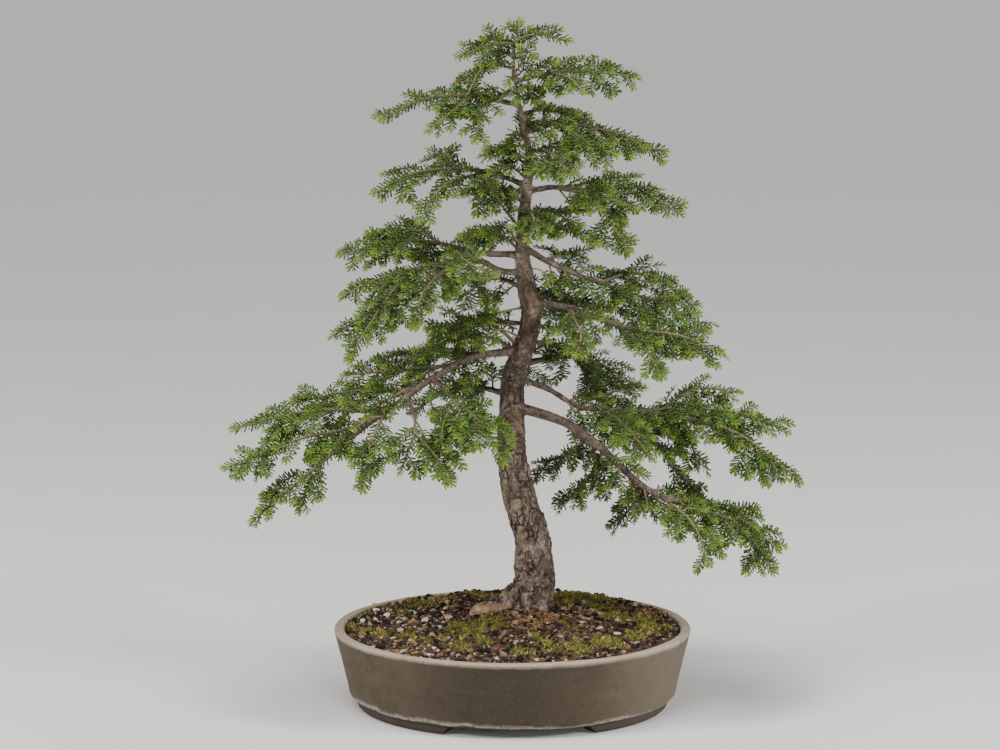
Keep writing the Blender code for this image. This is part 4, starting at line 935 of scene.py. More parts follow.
def pot_material():
    """Unglazed stoneware: mottled grey-brown and speckled, with a pale mineral line along its lower edge."""
    look = Look("stoneware")
    x, y, height = look.node("SeparateXYZ", {"Vector": look.place}).outputs
    clouds = look.noise(14.0, 5.0, 0.6)
    stains = look.noise(40.0, 6.0, 0.68, 0.5)
    bands = look.noise(1.0, 5.0, 0.65, vector=look.stretched(look.place, (12.0, 12.0, 110.0)))
    grain = look.noise(1300.0, 3.0, 0.7)
    look.colour = look.mix(look.spread(clouds, 0.32, 0.68), (0.048, 0.035, 0.020), (0.120, 0.093, 0.060))
    look.paint(look.spread(stains, 0.48, 0.70, 0.0, 0.60), (0.036, 0.025, 0.016))
    look.paint(look.spread(look.noise(95.0, 6.0, 0.75), 0.40, 0.70, 0.0, 0.40), (0.142, 0.114, 0.077))
    look.paint(look.spread(bands, 0.46, 0.68, 0.0, 0.18), (0.150, 0.130, 0.100))

    # Painted shade on the front, painted light on the right end and a painted highlight along the rim
    from_middle = look.math("ABSOLUTE", look.plus(x, 0.015))
    front = look.times(look.spread(from_middle, 0.03, 0.17, 1.0, 0.0), look.spread(y, -0.10, -0.02, 1.0, 0.0),
                       look.spread(clouds, 0.30, 0.60, 0.48, 0.78))
    look.paint(front, (0.030, 0.021, 0.012))
    look.paint(look.spread(x, 0.08, 0.17, 0.0, 0.50), (0.215, 0.178, 0.130))
    ragged = look.plus(height, look.spread(stains, 0.3, 0.7, -0.0012, 0.0012))
    look.paint(look.times(look.spread(ragged, 0.0824, 0.0880), 0.80), (0.570, 0.475, 0.372))

    # The mineral line, the darker feet and the speckles
    line = look.plus(height, look.spread(look.noise(17.0, 4.0, 0.6), 0.35, 0.65, -0.0045, 0.0020))
    salt = look.times(look.spread(line, 0.0104, 0.0114), look.spread(line, 0.0122, 0.0164, 1.0, 0.0),
                      look.spread(look.noise(230.0, 6.0, 0.75), 0.36, 0.62, 0.15, 0.85), 0.90)
    look.paint(salt, (0.560, 0.520, 0.470))
    look.paint(look.spread(height, 0.0098, 0.0112, 0.75, 0.0), (0.048, 0.038, 0.031))
    look.paint(look.spread(look.noise(1000.0, 1.0, 0.4), 0.71, 0.76, 0.0, 0.50), (0.330, 0.290, 0.230))
    look.paint(look.spread(look.noise(700.0, 1.0, 0.4, 0.3), 0.28, 0.33, 0.50, 0.0), (0.030, 0.022, 0.016))
    look.paint(look.spread(grain, 0.3, 0.7, 0.0, 0.35), (0.040, 0.031, 0.021))
    relief = look.plus(grain, look.times(stains, 2.0))
    return look.finish(look.spread(stains, 0.35, 0.65, 0.86, 0.62), 0.22, relief, 0.0004)


def ground_material():
    """Stored numbers: moss, litter, and painted shade in the hollows between the crumbs."""
    look = Look("soil")
    moss, litter, deep = look.stored()[:3]
    crumbs = look.noise(330.0, 6.0, 0.7)
    look.colour = look.mix(look.spread(crumbs, 0.38, 0.62), (0.016, 0.011, 0.008), (0.140, 0.090, 0.056))
    look.paint(look.spread(look.noise(60.0, 4.0), 0.5, 0.7, 0.0, 0.5), (0.170, 0.100, 0.055))
    look.paint(litter, look.mix(crumbs, (0.080, 0.040, 0.016), (0.430, 0.230, 0.095)))
    look.paint(moss, look.mix(look.spread(crumbs, 0.3, 0.7), (0.040, 0.042, 0.011), (0.210, 0.200, 0.040)))
    # Painted shade in the hollows between the crumbs
    look.paint(deep, (0.008, 0.006, 0.004))
    return look.finish(0.95, 0.2, crumbs, 0.0016)


def tinted_material(name, roughness, grain_scale, shade, depth):
    """A material whose colour is stored on the mesh, broken up by a fine grain."""
    look = Look(name)
    tint = look.node("Attribute", attribute_name="tone").outputs["Color"]
    grain = look.noise(grain_scale, 5.0, 0.65)
    look.colour = look.mix(look.spread(grain, 0.35, 0.65), look.mix(1.0, tint, shade, "MULTIPLY"), tint)
    return look.finish(roughness, 0.3, grain, depth)


def plastic_material():
    look = Look("black_plastic")
    fine = look.noise(900.0, 3.0)
    look.colour = look.mix(fine, (0.010, 0.010, 0.010), (0.028, 0.028, 0.028))
    return look.finish(look.spread(fine, 0.3, 0.7, 0.45, 0.65), height=fine, depth=0.0002)


def stage_material():
    look = Look("studio_paper")
    look.colour = look.mix(look.noise(6.0, 3.0), (0.70, 0.695, 0.68), (0.74, 0.735, 0.72))
    return look.finish(0.9)


# Growth

def grow_boughs():
    """Each bough's path, rooted on what it grows from, and the frame's node that it belongs to."""
    trunk = smooth_path(TRUNK)
    boughs = {"trunk": {"path": trunk, "length": distances(trunk)[-1], "wood": 1.0, "node": "trunk"}}
    rows = [(name, parent, wood, points, "") for name, parent, wood, points in BOUGHS]
    rows += [(f"{zone}_{number}", parent, 0.0, points, zone)
             for number, (zone, parent, points) in enumerate(SMALL_BOUGHS)]
    for name, parent, wood, points, zone in rows:
        host = boughs[parent]
        path = smooth_path(points)
        spot = nearest_place(host["path"], path[0])
        root = along(host["path"], spot)[:3]
        reach = distances(path)[:, None] / distances(path)[-1]
        path = path + (root - path[0]) * (1 - reach) ** 2 + UP * LOWERED.get(name, 0.0) * reach
        length = distances(path)[-1]
        hidden = 0.0 if wood else trunk_radius(root[2]) if parent == "trunk" else HOST_RADIUS
        bare = hidden + BARE_START + (WAIST_LEAFLESS * length if zone == "waist" else 0.0)
        own_node = "spray_" + name if spot <= host["wood"] else host["node"]
        # Its shade is the painted light or shade that all its needles carry
        boughs[name] = {"path": path, "length": length, "wood": wood, "node": "inner" if zone else own_node,
                        "bare": bare, "fullness": FULLNESS.get(name, 1.0), "slim": SLIMMER.get(name, 1.0),
                        "shade": PAINTED_LIGHT_AND_SHADE.get(zone or name, 0.0)}
    del boughs["trunk"]
    return boughs


def trunk_radius(height):
    return float(np.interp(height, [row[2] for row in TRUNK], [row[3] for row in TRUNK]))


def limb_radius(bough, places):
    root = (LIMB_ROOT_RADIUS[0] + LIMB_ROOT_RADIUS[1] * bough["length"]) * bough["slim"]
    return root + (LIMB_TIP_RADIUS - root) * np.asarray(places) / bough["length"]


def side_shoot(root, direction, forward, length, droop, rng):
    """A shoot's path: it bends forward and droops towards its tip."""
    t = np.linspace(0, 1, SHOOT_POINTS)[:, None]
    wander = rng.normal(0, SHOOT_WANDER, 3)
    bend = forward * SHOOT_BEND * t ** 2 - UP * droop * t ** 2
    return root + length * (direction * t + bend + wander * t ** 2)


def lit_side(point, loose, rng):
    """Where a spray turns its upper side: up, and out to the nearer face of the crown."""
    face = -1 if point[1] < CROWN_MIDDLE else 1
    return unit(np.array((0.0, face * SPRAY_TURN, 1.0)) + rng.normal(0, loose, 3))


def branch_off(path, spot, side, angle, rolls, rng):
    """The root of a side shoot, its direction, its parent's direction and its own upper side."""
    root = along(path, spot)
    forward = heading(path, spot)
    above = lit_side(root, 0.22, rng)
    across, above = sideways(forward, above)
    roll = math.radians(rng.normal(*rolls))
    angle = math.radians(angle + rng.normal(0, 7))
    outward = side * across * math.cos(roll) + above * math.sin(roll)
    return root, math.cos(angle) * forward + math.sin(angle) * outward, forward, above


def fills_opening(path):
    """Whether the outer half of a shoot is seen inside an opening between the sprays."""
    end = path[len(path) // 2:].mean(axis=0)
    eye = np.array(CAMERA_PLACE)
    seen = eye + (end - eye) * eye[1] / (eye[1] - end[1])
    openings = np.array(OPENINGS)
    off = (seen[[0, 2]] - openings[:, :2]) / openings[:, 2:]
    return bool((np.sum(off ** 2, axis=1) < 1).any())


def small_twigs(path, leafless, shade, rng):
    """The needle-bearing twigs of a side shoot, none nearer to its root than its leafless length."""
    twigs = []
    reach = distances(path)[-1]
    side = rng.choice((-1, 1))
    spot = SMALL_SPACING * rng.uniform(0.6, 0.9)
    while spot < reach - SMALL_MARGIN:
        size = min(SMALL_LONGEST, SMALL_TAPER * (reach - spot) + SMALL_SHORTEST) * rng.uniform(0.8, 1.1)
        root, direction, forward, above = branch_off(path, spot, side, SMALL_ANGLE, SMALL_ROLLS, rng)
        twig = side_shoot(root, direction, forward, size, rng.uniform(*SMALL_DROOP), rng)
        if spot > leafless:
            youth = rng.uniform(0.3, 1.0)
            if not fills_opening(twig):
                twigs.append(Shoot(twig, SMALL_RADII, SMALL_BARE, youth, above, shade))
        side = -side
        spot += SMALL_SPACING * rng.uniform(0.8, 1.25)
    return twigs


def grow_shoots(bough, rng):
    """All needle-bearing shoots of a bough."""
    length = bough["length"]
    axis = stretch(bough["path"], bough["wood"], length, AXIS_SPACING)
    # The bough's painted light or shade moves the tone of all its needles
    own = rng.uniform(0.20, 0.70) + bough["shade"]
    radii = (limb_radius(bough, bough["wood"]), LIMB_TIP_RADIUS)
    shoots = [Shoot(axis, radii, bough["bare"], 1.0, lit_side(axis[0], 0.15, rng), own)]
    spot = max(bough["wood"] * INNER_START, bough["bare"]) + rng.uniform(0.2, 0.7) * SHOOT_SPACING
    side = rng.choice((-1, 1))
    while spot < length - SHOOT_MARGIN:
        size = min(SHOOT_LONGEST, SHOOT_TAPER * (length - spot) + SHOOT_SHORTEST) * rng.uniform(0.72, 1.12)
        inner = spot < bough["wood"]
        size *= bough["fullness"] * (INNER_SIZE if inner else 1)
        rolls = INNER_ROLLS if inner else SHOOT_ROLLS
        root, direction, forward, above = branch_off(bough["path"], spot, side, SHOOT_ANGLE, rolls, rng)
        droop = rng.uniform(*SHOOT_DROOP)
        if rng.uniform() < HANGING_SHARE:
            direction = unit(direction + HANG * rng.uniform(0.6, 1.1))
            size *= HANGING_SIZE
        path = side_shoot(root, direction, forward, size, droop, rng)
        shade = np.clip(own + rng.normal(0, 0.22), 0, 1)
        leafless = SHOOT_BARE
        if inner:
            leafless = distances(path)[-1] * np.interp((spot * INNER_SHUFFLE) % 1, (0, 1), INNER_LEAFLESS)
        youth = rng.uniform(0.45, 1.0)
        twigs = small_twigs(path, leafless, shade, rng)
        if not fills_opening(path):
            radii = INNER_RADII if inner else SHOOT_RADII
            shoots += [Shoot(path, radii, leafless, youth, above, shade), *twigs]
        side = -side
        spot += SHOOT_SPACING * rng.uniform(0.8, 1.2)
    return shoots


def needle_spots(shoot, rng):
    """How far along a shoot its needles stand, closer together at its tip. None where there are too few."""
    length = distances(shoot.path)[-1]
    count = int((length - shoot.bare) / NEEDLE_SPACING)
    if count < 3:
        return None
    steps = np.linspace(shoot.bare, length, 80)
    crowd = np.cumsum(1 + TIP_CROWDING * np.exp((steps - length) / TIP_CROWD_REACH))
    spots = np.interp(np.linspace(crowd[0], crowd[-1], count), crowd, steps)
    return np.clip(spots + rng.uniform(-0.0003, 0.0003, count), 0, length)


def needles_on(shoot, rng):
    """The needles of a shoot: points, faces and stored numbers."""
    spots = needle_spots(shoot, rng)
    if spots is None:
        return None
    count = len(spots)
    to_tip = distances(shoot.path)[-1] - spots
    forward = heading(shoot.path, spots)
    across, above = sideways(forward, shoot.upper)
    turn = np.radians(GOLDEN_TURN * np.arange(count) + rng.uniform(0, 360))
    side = np.cos(turn)
    side = np.sign(side) * np.abs(side) ** NEEDLE_COMBING
    rise = np.sin(turn) * NEEDLE_RISE[0] + NEEDLE_RISE[1]
    outward = unit(side[:, None] * across + rise[:, None] * above)
    upright = TIP_LEAN * np.exp(-to_tip / TIP_LEAN_REACH)
    lean = np.radians(NEEDLE_LEAN - upright + rng.normal(0, 4, count))[:, None]
    direction = unit(np.cos(lean) * forward + np.sin(lean) * outward)
    size = NEEDLE_LENGTH * rng.uniform(0.84, 1.14) * rng.uniform(0.90, 1.06, count)
    size *= 0.74 + 0.26 * np.clip(to_tip / SHORT_REACH, 0, 1)
    size *= 0.72 + 0.28 * np.clip((spots - shoot.bare) / SHORT_REACH, 0, 1)
    size *= 1 - 0.28 * np.clip(rise - 0.3, 0, 1)
    normal = above - direction * np.sum(above * direction, axis=1, keepdims=True)
    normal = unit(normal + rng.normal(0, 0.20, (count, 3)))
    broad = unit(np.cross(direction, normal))
    normal = np.cross(broad, direction)
    root = along(shoot.path, spots)
    width = NEEDLE_WIDTH * rng.uniform(0.85, 1.1, count) / 2
    points = (root[:, None] + NEEDLE_CORNERS[:, :1] * (direction * size[:, None])[:, None]
              + NEEDLE_CORNERS[:, 1:2] * (broad * width[:, None])[:, None]
              + NEEDLE_CORNERS[:, 2:] * (normal * NEEDLE_RIDGE)[:, None])
    values = np.empty((count, NEEDLE_FACES.size, 4))
    values[:, :, 0] = NEEDLE_UNDERSIDE
    values[:, :, 1] = NEEDLE_ALONG
    values[:, :, 2] = np.clip(shoot.shade + rng.normal(0, 0.30, count), 0, 1)[:, None]
    fresh = shoot.youth * (np.exp(-(to_tip / FRESH_REACH) ** 2) + 0.10 * rng.uniform(0, 1, count))
    values[:, :, 3] = np.clip(fresh, 0, 1)[:, None]
    faces = repeated(NEEDLE_FACES, count, len(NEEDLE_CORNERS))
    return points.reshape(-1, 3), [faces], values.reshape(-1, 4)


def twig_wood(shoot, rng):
    """The wood of a shoot as a tube, whose stored age follows its thickness."""
    taper = np.linspace(*shoot.radii, len(shoot.path))
    sides = 6 if shoot.radii[0] > 0.001 else 3
    part = tube(shoot.path, taper, sides, (0, rng.uniform(), 0, 0))
    thickness = np.concatenate((np.repeat(taper, sides), taper[[0, -1]]))
    part[2][:, 0] = np.clip((thickness - 0.0008) / 0.0012, 0, 1)
    return part


def build_sprays(boughs):
    """For each node of needles, one piece of needles and one of the twigs that carry them."""
    needles, twigs = needle_material(), twig_material()
    groups = {}
    for index, bough in enumerate(boughs.values()):
        rng = np.random.default_rng((SEED, index))
        leafy, woody = groups.setdefault(bough["node"], ([], []))
        for shoot in grow_shoots(bough, rng):
            foliage = needles_on(shoot, rng)
            if foliage:
                leafy.append(foliage)
            woody.append(twig_wood(shoot, rng))
    for name, (leafy, woody) in groups.items():
        plain = name.removeprefix("spray_")
        stands_for = () if name == "inner" else (name,)
        add_piece("needles_" + plain, *gather(leafy), needles, "needles", *stands_for, domain="CORNER")
        add_piece("twigs_" + plain, *gather(woody), twigs, "bark", *stands_for)


# Wood

def bark_relief(points):
    """How far the bark stands out at the points, the painted shade of its crevices and plate gaps, which
    follows their depth, and its plates' own shades.
    """
    height = points[:, 2]
    warp = np.stack([fractal(points / BARK_WARP_SIZE, 3, 40 + 5 * axis) for axis in range(3)], axis=1)
    spots = points + warp * BARK_WARP
    inside, own = cells(spots / PLATE_SIZE, 7)
    small_own = cells(spots / SMALL_PLATE_SIZE, 17)[1]
    fissure = 1 - step(cells(spots / FISSURE_SIZE, 27)[0], 0.02, 0.13)
    fissure *= step(fractal(points / (0.030, 0.030, 0.060), 2, 65), -0.45, 0.20)
    rough = np.interp(height, *BARK_ROUGH)
    deep = np.interp(height, *BARK_DEEP)
    gaps = (1 - step(inside, 0.0, 0.13)) * step(fractal(points / 0.018, 3, 60), -0.10, 0.55)
    rise = PLATE_RISE * (own - 0.5) + SMALL_PLATE_RISE * (small_own - 0.5) - PLATE_GAP_DEPTH * gaps
    rise += relief(points, BARK_GRAIN)
    lumps = relief(points, BARK_LUMPS) * np.interp(height, (0.1, 0.5), (1.0, 0.4))
    rise = rise * rough - FISSURE_DEPTH * fissure * deep + lumps
    return rise, np.clip(fissure * deep + 0.35 * gaps * rough, 0, 1), 0.6 * own + 0.4 * small_own


def root_tube(root):
    """A surface root that ends thinner and a little deeper in the soil."""
    path = smooth_path(root)
    path = stretch(path, 0, distances(path)[-1], ROOT_SPACING)
    tip = path[-1, :3] + unit(path[-1, :3] - path[-2, :3]) * ROOT_TIP_LENGTH - UP * ROOT_TIP_LENGTH
    path = np.vstack((path, (*tip, path[-1, 3] * 0.5)))
    return tube(path, path[:, 3], 20)


def limb_start(bough):
    """The start of a limb, flared where it leaves its host."""
    reach = min(bough["wood"], LIMB_START + limb_radius(bough, 0) * 2)
    path = stretch(bough["path"], 0, reach, ROOT_SPACING)
    flare = LIMB_FLARE - LIMB_FLARE_FALL * distances(path) / reach
    return tube(path, limb_radius(bough, distances(path)) * flare, 14)


def build_trunk(limbs, bark):
    """The trunk with its roots and the starts of the limbs as one skin."""
    trunk = smooth_path(TRUNK)
    trunk = stretch(trunk, 0, distances(trunk)[-1], TRUNK_SPACING)
    parts = [tube(trunk, trunk[:, 3], 40), *map(root_tube, ROOTS), *map(limb_start, limbs)]
    mesh = evaluated(make_mesh("wood", *gather(parts)[:2]),
                     ("REMESH", {"mode": "VOXEL", "voxel_size": WOOD_VOXEL}),
                     ("SMOOTH", {"factor": 0.5, "iterations": 5}))
    points = read_vectors(mesh.vertices, "co")
    rise, crevice_shade, own = bark_relief(points)
    middle = along(trunk, np.interp(points[:, 2], trunk[:, 2], distances(trunk)))
    thin = step(np.linalg.norm(points[:, :2] - middle[:, :2], axis=1) - middle[:, 3], 0.004, 0.012)
    thin *= step(points[:, 2], 0.15, 0.17)
    bare_root = step(-points[:, 0], -0.002, 0.010) * (1 - step(points[:, 2], 0.122, 0.136))
    bare_root *= step(fractal(points / 0.012, 3, 95), -0.5, 0.2)
    push_out(mesh, rise * (1 - 0.6 * thin) * (1 - 0.85 * bare_root))
    tone(mesh, np.stack((np.clip(crevice_shade, 0, 1) * (1 - 0.85 * bare_root), own, bare_root, thin), axis=1))
    mesh.shade_smooth()
    place(mesh, "trunk_bark", bark, "bark", "trunk")


def build_limbs(limbs, bark):
    """The bare wood of the limbs."""
    tubes = []
    for bough in limbs:
        path = stretch(bough["path"], 0, bough["wood"] + LIMB_OVERLAP, LIMB_SPACING)
        radii = limb_radius(bough, distances(path))
        tubes.append(tube(path, radii, 16 if radii[0] > 0.0025 else 10, (0.0, 0.5, 0.0, 1.0)))
    verts, faces, values = gather(tubes)
    mesh = make_mesh("limb_bark", verts, faces)
    points = read_vectors(mesh.vertices, "co")
    push_out(mesh, relief(points, LIMB_RELIEF))
    # Painted shade in small crevices of the limbs' bark, from noise
    values[:, 0] = np.clip(0.8 * step(-fractal(points / 0.004, 3, 140), 0.5, 1.1), 0, 1)
    values[:, 1] = np.clip(0.5 + 0.5 * fractal(points / 0.008, 2, 150), 0, 1)
    tone(mesh, values)
    place(mesh, "limb_bark", bark, "bark")


def build_wood(boughs):
    bark = bark_material()
    limbs = [bough for bough in boughs.values() if bough["wood"]]
    build_trunk(limbs, bark)
    build_limbs(limbs, bark)


# Pot

def arc(centre, radius, start, end, count):
    """Points of a rounded edge in the x, z plane, angles in degrees."""
    angles = np.radians(np.linspace(start, end, count))
    return [(centre[0] + radius * math.cos(angle), centre[1] + radius * math.sin(angle)) for angle in angles]


def oval(radii, angles, heights):
    """Points round the pot's axis, on ovals of its proportion."""
    rows = (radii * np.cos(angles), radii * np.sin(angles) * POT_OVAL, heights)
    return np.stack(np.broadcast_arrays(*rows), axis=-1)


def turned(profile, steps):
    """A closed solid from a profile of x, z points that starts and ends on the axis."""
    angles = np.linspace(0, 2 * math.pi, steps, endpoint=False)
    inner = np.array(profile[1:-1])
    rings = oval(inner[:, :1], angles, inner[:, 1:])
    verts = np.vstack((rings.reshape(-1, 3), (0, 0, profile[0][1]), (0, 0, profile[-1][1])))
    return verts, [part[:, ::-1] for part in body_faces(len(inner), steps)]


def fill_line(points, spacing):
    """The profile with points added along its straight stretches."""
    result = [points[0]]
    for start, end in zip(points, points[1:]):
        count = max(1, round(math.dist(start, end) / spacing))
        result += [tuple(np.array(start) + (np.array(end) - start) * k / count) for k in range(1, count + 1)]
    return result


def foot_ring(side):
    """One foot as a band round an end of the pot."""
    inner, outer = FOOT_CHAMFERS
    outline = [(FOOT_INNER, FOOT_TOP), (FOOT_INNER, inner), (FOOT_INNER + inner, 0.0),
               (FOOT_OUTER - outer, 0.0), (FOOT_OUTER, outer), (FOOT_OUTER, FOOT_TOP)]
    profile = np.array(fill_line(outline, FOOT_SPACING))
    half = math.radians(FOOT_HALF_ANGLE)
    rows = []
    for share in np.linspace(-1, 1, FOOT_STEPS):
        slant = math.radians(FOOT_SLANT) * (1 - profile[:, 1] / FOOT_TOP) * np.abs(share) ** 12
        angles = share * half - np.sign(share) * slant
        if side < 0:
            angles = angles + math.radians(FOOT_LEFT_LONGER) * max(share, 0) + math.pi
        rows.append(oval(profile[:, 0], angles, profile[:, 1]))
    ring = np.arange(len(profile))
    start_cap, end_cap = ring[::-1][None], (ring + (FOOT_STEPS - 1) * len(profile))[None]
    return np.concatenate(rows), [ring_faces(FOOT_STEPS, len(profile))[:, ::-1], start_cap, end_cap]


def drilled(mesh, x):
    """The pot with a drainage hole cut through its floor."""
    bm = bmesh.new()
    bmesh.ops.create_cone(bm, cap_ends=True, segments=40, radius1=DRAIN_RADIUS, radius2=DRAIN_RADIUS,
                          depth=DRILL_LENGTH, matrix=Matrix.Translation((x, 0, FLOOR_TOP - 0.005)))
    drill_mesh = bpy.data.meshes.new("drill")
    bm.to_mesh(drill_mesh)
    bm.free()
    drill = bpy.data.objects.new("drill", drill_mesh)
    bpy.context.scene.collection.objects.link(drill)
    mesh = evaluated(mesh, ("BOOLEAN", {"operation": "DIFFERENCE", "solver": "EXACT", "object": drill}))
    bpy.data.objects.remove(drill)
    return mesh


def build_pot():
    stoneware = pot_material()
    inside = RIM_RADIUS - RIM_WIDTH
    outer = arc((RIM_RADIUS - RIM_ROUND, RIM_TOP - RIM_ROUND), RIM_ROUND, 90, 0, 6)
    inner = arc((inside + LIP_ROUND, RIM_TOP - LIP_ROUND), LIP_ROUND, 180, 90, 5)
    lower = arc((WALL_FOOT[0] - WALL_ROUND, WALL_FOOT[1] - 0.0020), WALL_ROUND, 0, -90, 8)
    outline = [(0.0, FLOOR_TOP), (FLOOR_RADIUS, FLOOR_TOP), FLOOR_BEND, (inside - RIM_BULGE, WALL_TOP),
               *inner, *outer, WALL_FOOT, *lower, (0.0, BODY_BOTTOM)]
    mesh = make_mesh("pot", *turned(fill_line(outline, POT_SPACING), POT_STEPS))
    for x in (-DRAIN_X, DRAIN_X):
        mesh = drilled(mesh, x)
    push_out(mesh, relief(read_vectors(mesh.vertices, "co"), POT_RELIEF))
    mesh.shade_smooth()
    mesh.set_sharp_from_angle(angle=math.radians(SHARP_ANGLE))
    place(mesh, "pot_body", stoneware, "stoneware", "pot")
    for side, name in ((-1, "pot_foot_left"), (1, "pot_foot_right")):
        mesh = make_mesh(name, *foot_ring(side))
        mesh.set_sharp_from_angle(angle=math.radians(SHARP_ANGLE))
        place(mesh, name, stoneware, "stoneware")


# Soil

def on_ground(x, y, height=0.0):
    """The points as rows of x, y and height."""
    return np.stack(np.broadcast_arrays(x, y, height), axis=-1)


def ground_noise(x, y, size, octaves, seed):
    return fractal(on_ground(x, y) / size, octaves, seed)


def soil_height(x, y):
    off = (x - TRUNK_FOOT[0]) ** 2 + (y - TRUNK_FOOT[1]) ** 2
    height = SOIL_EDGE + SOIL_RISE * np.exp(-off / (2 * SOIL_SPREAD ** 2))
    for mx, my, radius, rise in MOUNDS:
        height = height + rise * np.exp(-((x - mx) ** 2 + (y - my) ** 2) / (2 * (radius * MOUND_SLOPE) ** 2))
    return height


def moss_share(x, y):
    """How mossy the soil is at the points."""
    ragged = 1.08 + 0.60 * ground_noise(x, y, *MOSS_RAGGED)
    share = np.zeros_like(x)
    for mx, my, radius in MOSS:
        gap = np.hypot(x - mx, y - my) / (radius * ragged)
        share = np.maximum(share, 1 - step(gap, 0.70, 1.1))
    return share * step(ground_noise(x, y, *MOSS_HOLES), -0.85, -0.15)


def litter_share(x, y):
    """How thickly rust-brown fallen needles and chips lie at the points."""
    share = np.zeros_like(x)
    for (mx, my), (wide, deep), most in LITTER:
        share = np.maximum(share, most * np.exp(-(((x - mx) / wide) ** 2 + ((y - my) / deep) ** 2)))
    return np.clip(share * (1 + 0.5 * ground_noise(x, y, *LITTER_PATCHES)), 0, 1)


def surface(x, y):
    """The height of the detailed soil, its moss, its litter and its roughness."""
    moss = moss_share(x, y)
    rough = ground_noise(x, y, *CRUMBS)
    cushions = ground_noise(x, y, *CUSHIONS)
    height = soil_height(x, y) + SOIL_LIFT + BACK_LIFT * step(y, *BACK_RISES)
    height = height + CRUMB_HEIGHT * rough * (1 - moss) + moss * (MOSS_HEIGHT + CUSHION_HEIGHT * cushions)
    return height, moss, litter_share(x, y), rough


def soil_edge():
    """The radius of the soil's surface, where it meets the pot's wall."""
    inside = RIM_RADIUS - RIM_WIDTH - RIM_BULGE
    share = (SOIL_EDGE + SOIL_LIFT - FLOOR_BEND[1]) / (WALL_TOP - FLOOR_BEND[1])
    return FLOOR_BEND[0] + (inside - FLOOR_BEND[0]) * min(share, 1.0) - SOIL_GAP


def build_ground(edge):
    """The soil as one closed body, with its surface in fine relief."""
    angles = np.linspace(0, 2 * math.pi, GROUND_STEPS, endpoint=False)
    radii = edge * np.linspace(1, 0, GROUND_RINGS, endpoint=False)
    x, y = oval(radii[:, None], angles, 0.0).reshape(-1, 3)[:, :2].T
    height, moss, litter, rough = surface(x, y)
    floor = FLOOR_TOP + 0.0013
    verts = np.concatenate((oval(FLOOR_RADIUS - SOIL_GAP, angles, floor),
                            oval(FLOOR_BEND[0] - SOIL_GAP, angles, FLOOR_BEND[1]), on_ground(x, y, height),
                            ((0.0, 0.0, floor), (0.0, 0.0, soil_height(0.0, 0.0)))))
    values = np.zeros((len(verts), 4))
    bare = 1 - moss
    # Painted shade in the hollows of the bare soil
    deep = 0.85 * step(-rough, 0.1, 0.8) * bare
    values[2 * GROUND_STEPS:-2, :3] = np.stack((moss, litter * bare, deep), axis=1)
    faces = body_faces(GROUND_RINGS + 2, GROUND_STEPS)
    add_piece("soil_ground", verts, faces, values, ground_material(), "soil", "soil")


def scatter(count, edge, rng):
    """Even random points inside the pot's rim, off the trunk."""
    radius = edge * np.sqrt(rng.uniform(0, SCATTER_SHARE, count))
    x, y = oval(radius, rng.uniform(0, 2 * math.pi, count), 0.0)[:, :2].T
    keep = np.hypot(x - TRUNK_FOOT[0], y - TRUNK_FOOT[1]) > TRUNK_CLEARANCE
    return x[keep], y[keep]


def turns(count, rng):
    """Random rotation matrices."""
    quats = unit(rng.normal(size=(count, 4)))
    w, x, y, z = quats.T
    rows = (1 - 2 * (y * y + z * z), 2 * (x * y - w * z), 2 * (x * z + w * y),
            2 * (x * y + w * z), 1 - 2 * (x * x + z * z), 2 * (y * z - w * x),
            2 * (x * z - w * y), 2 * (y * z + w * x), 1 - 2 * (x * x + y * y))
    return np.stack(rows, axis=1).reshape(-1, 3, 3)


def stones(x, y, radii, sizes, colours, rng, level, lift=0.25, flat=0.75, cuts=0):
    """Irregular stones set into the soil: points, faces and their colours."""
    bm = bmesh.new()
    bmesh.ops.create_icosphere(bm, subdivisions=level, radius=1.0)
    base = np.array([vert.co[:] for vert in bm.verts])
    triangles = np.array([[vert.index for vert in face.verts] for face in bm.faces])
    bm.free()
    count = len(x)
    shape = base[None] * (1 + rng.uniform(-0.16, 0.16, (count, len(base), 1)) * (1 if level == 1 else 0.35))
    for _ in range(cuts):
        facing = unit(rng.normal(0, 1, (count, 3)))
        past = np.einsum("nij,nj->ni", shape, facing) - rng.uniform(0.50, 0.85, (count, 1))
        shape = shape - np.clip(past, 0, None)[:, :, None] * facing[:, None, :]
    shape = shape * sizes[:, None, :] * radii[:, None, None]
    shape = np.einsum("nij,nkj->nki", turns(count, rng), shape)
    shape[:, :, 2] *= flat
    shape += on_ground(x, y, surface(x, y)[0] + radii * lift)[:, None, :]
    return shape.reshape(-1, 3), [repeated(triangles, count, len(base))], opaque(colours, len(base))


def pick(palette, count, rng):
    """Random colours from a palette of shares and colours, each a little lighter or darker."""
    shares, colours = zip(*palette)
    chosen = np.array(colours)[rng.choice(len(palette), count, p=shares)]
    return chosen * rng.uniform(0.7, 1.3, (count, 1))


def opaque(colours, count):
    """Each colour with a full alpha, for that many points."""
    return np.repeat(np.hstack((colours, np.ones((len(colours), 1)))), count, axis=0)


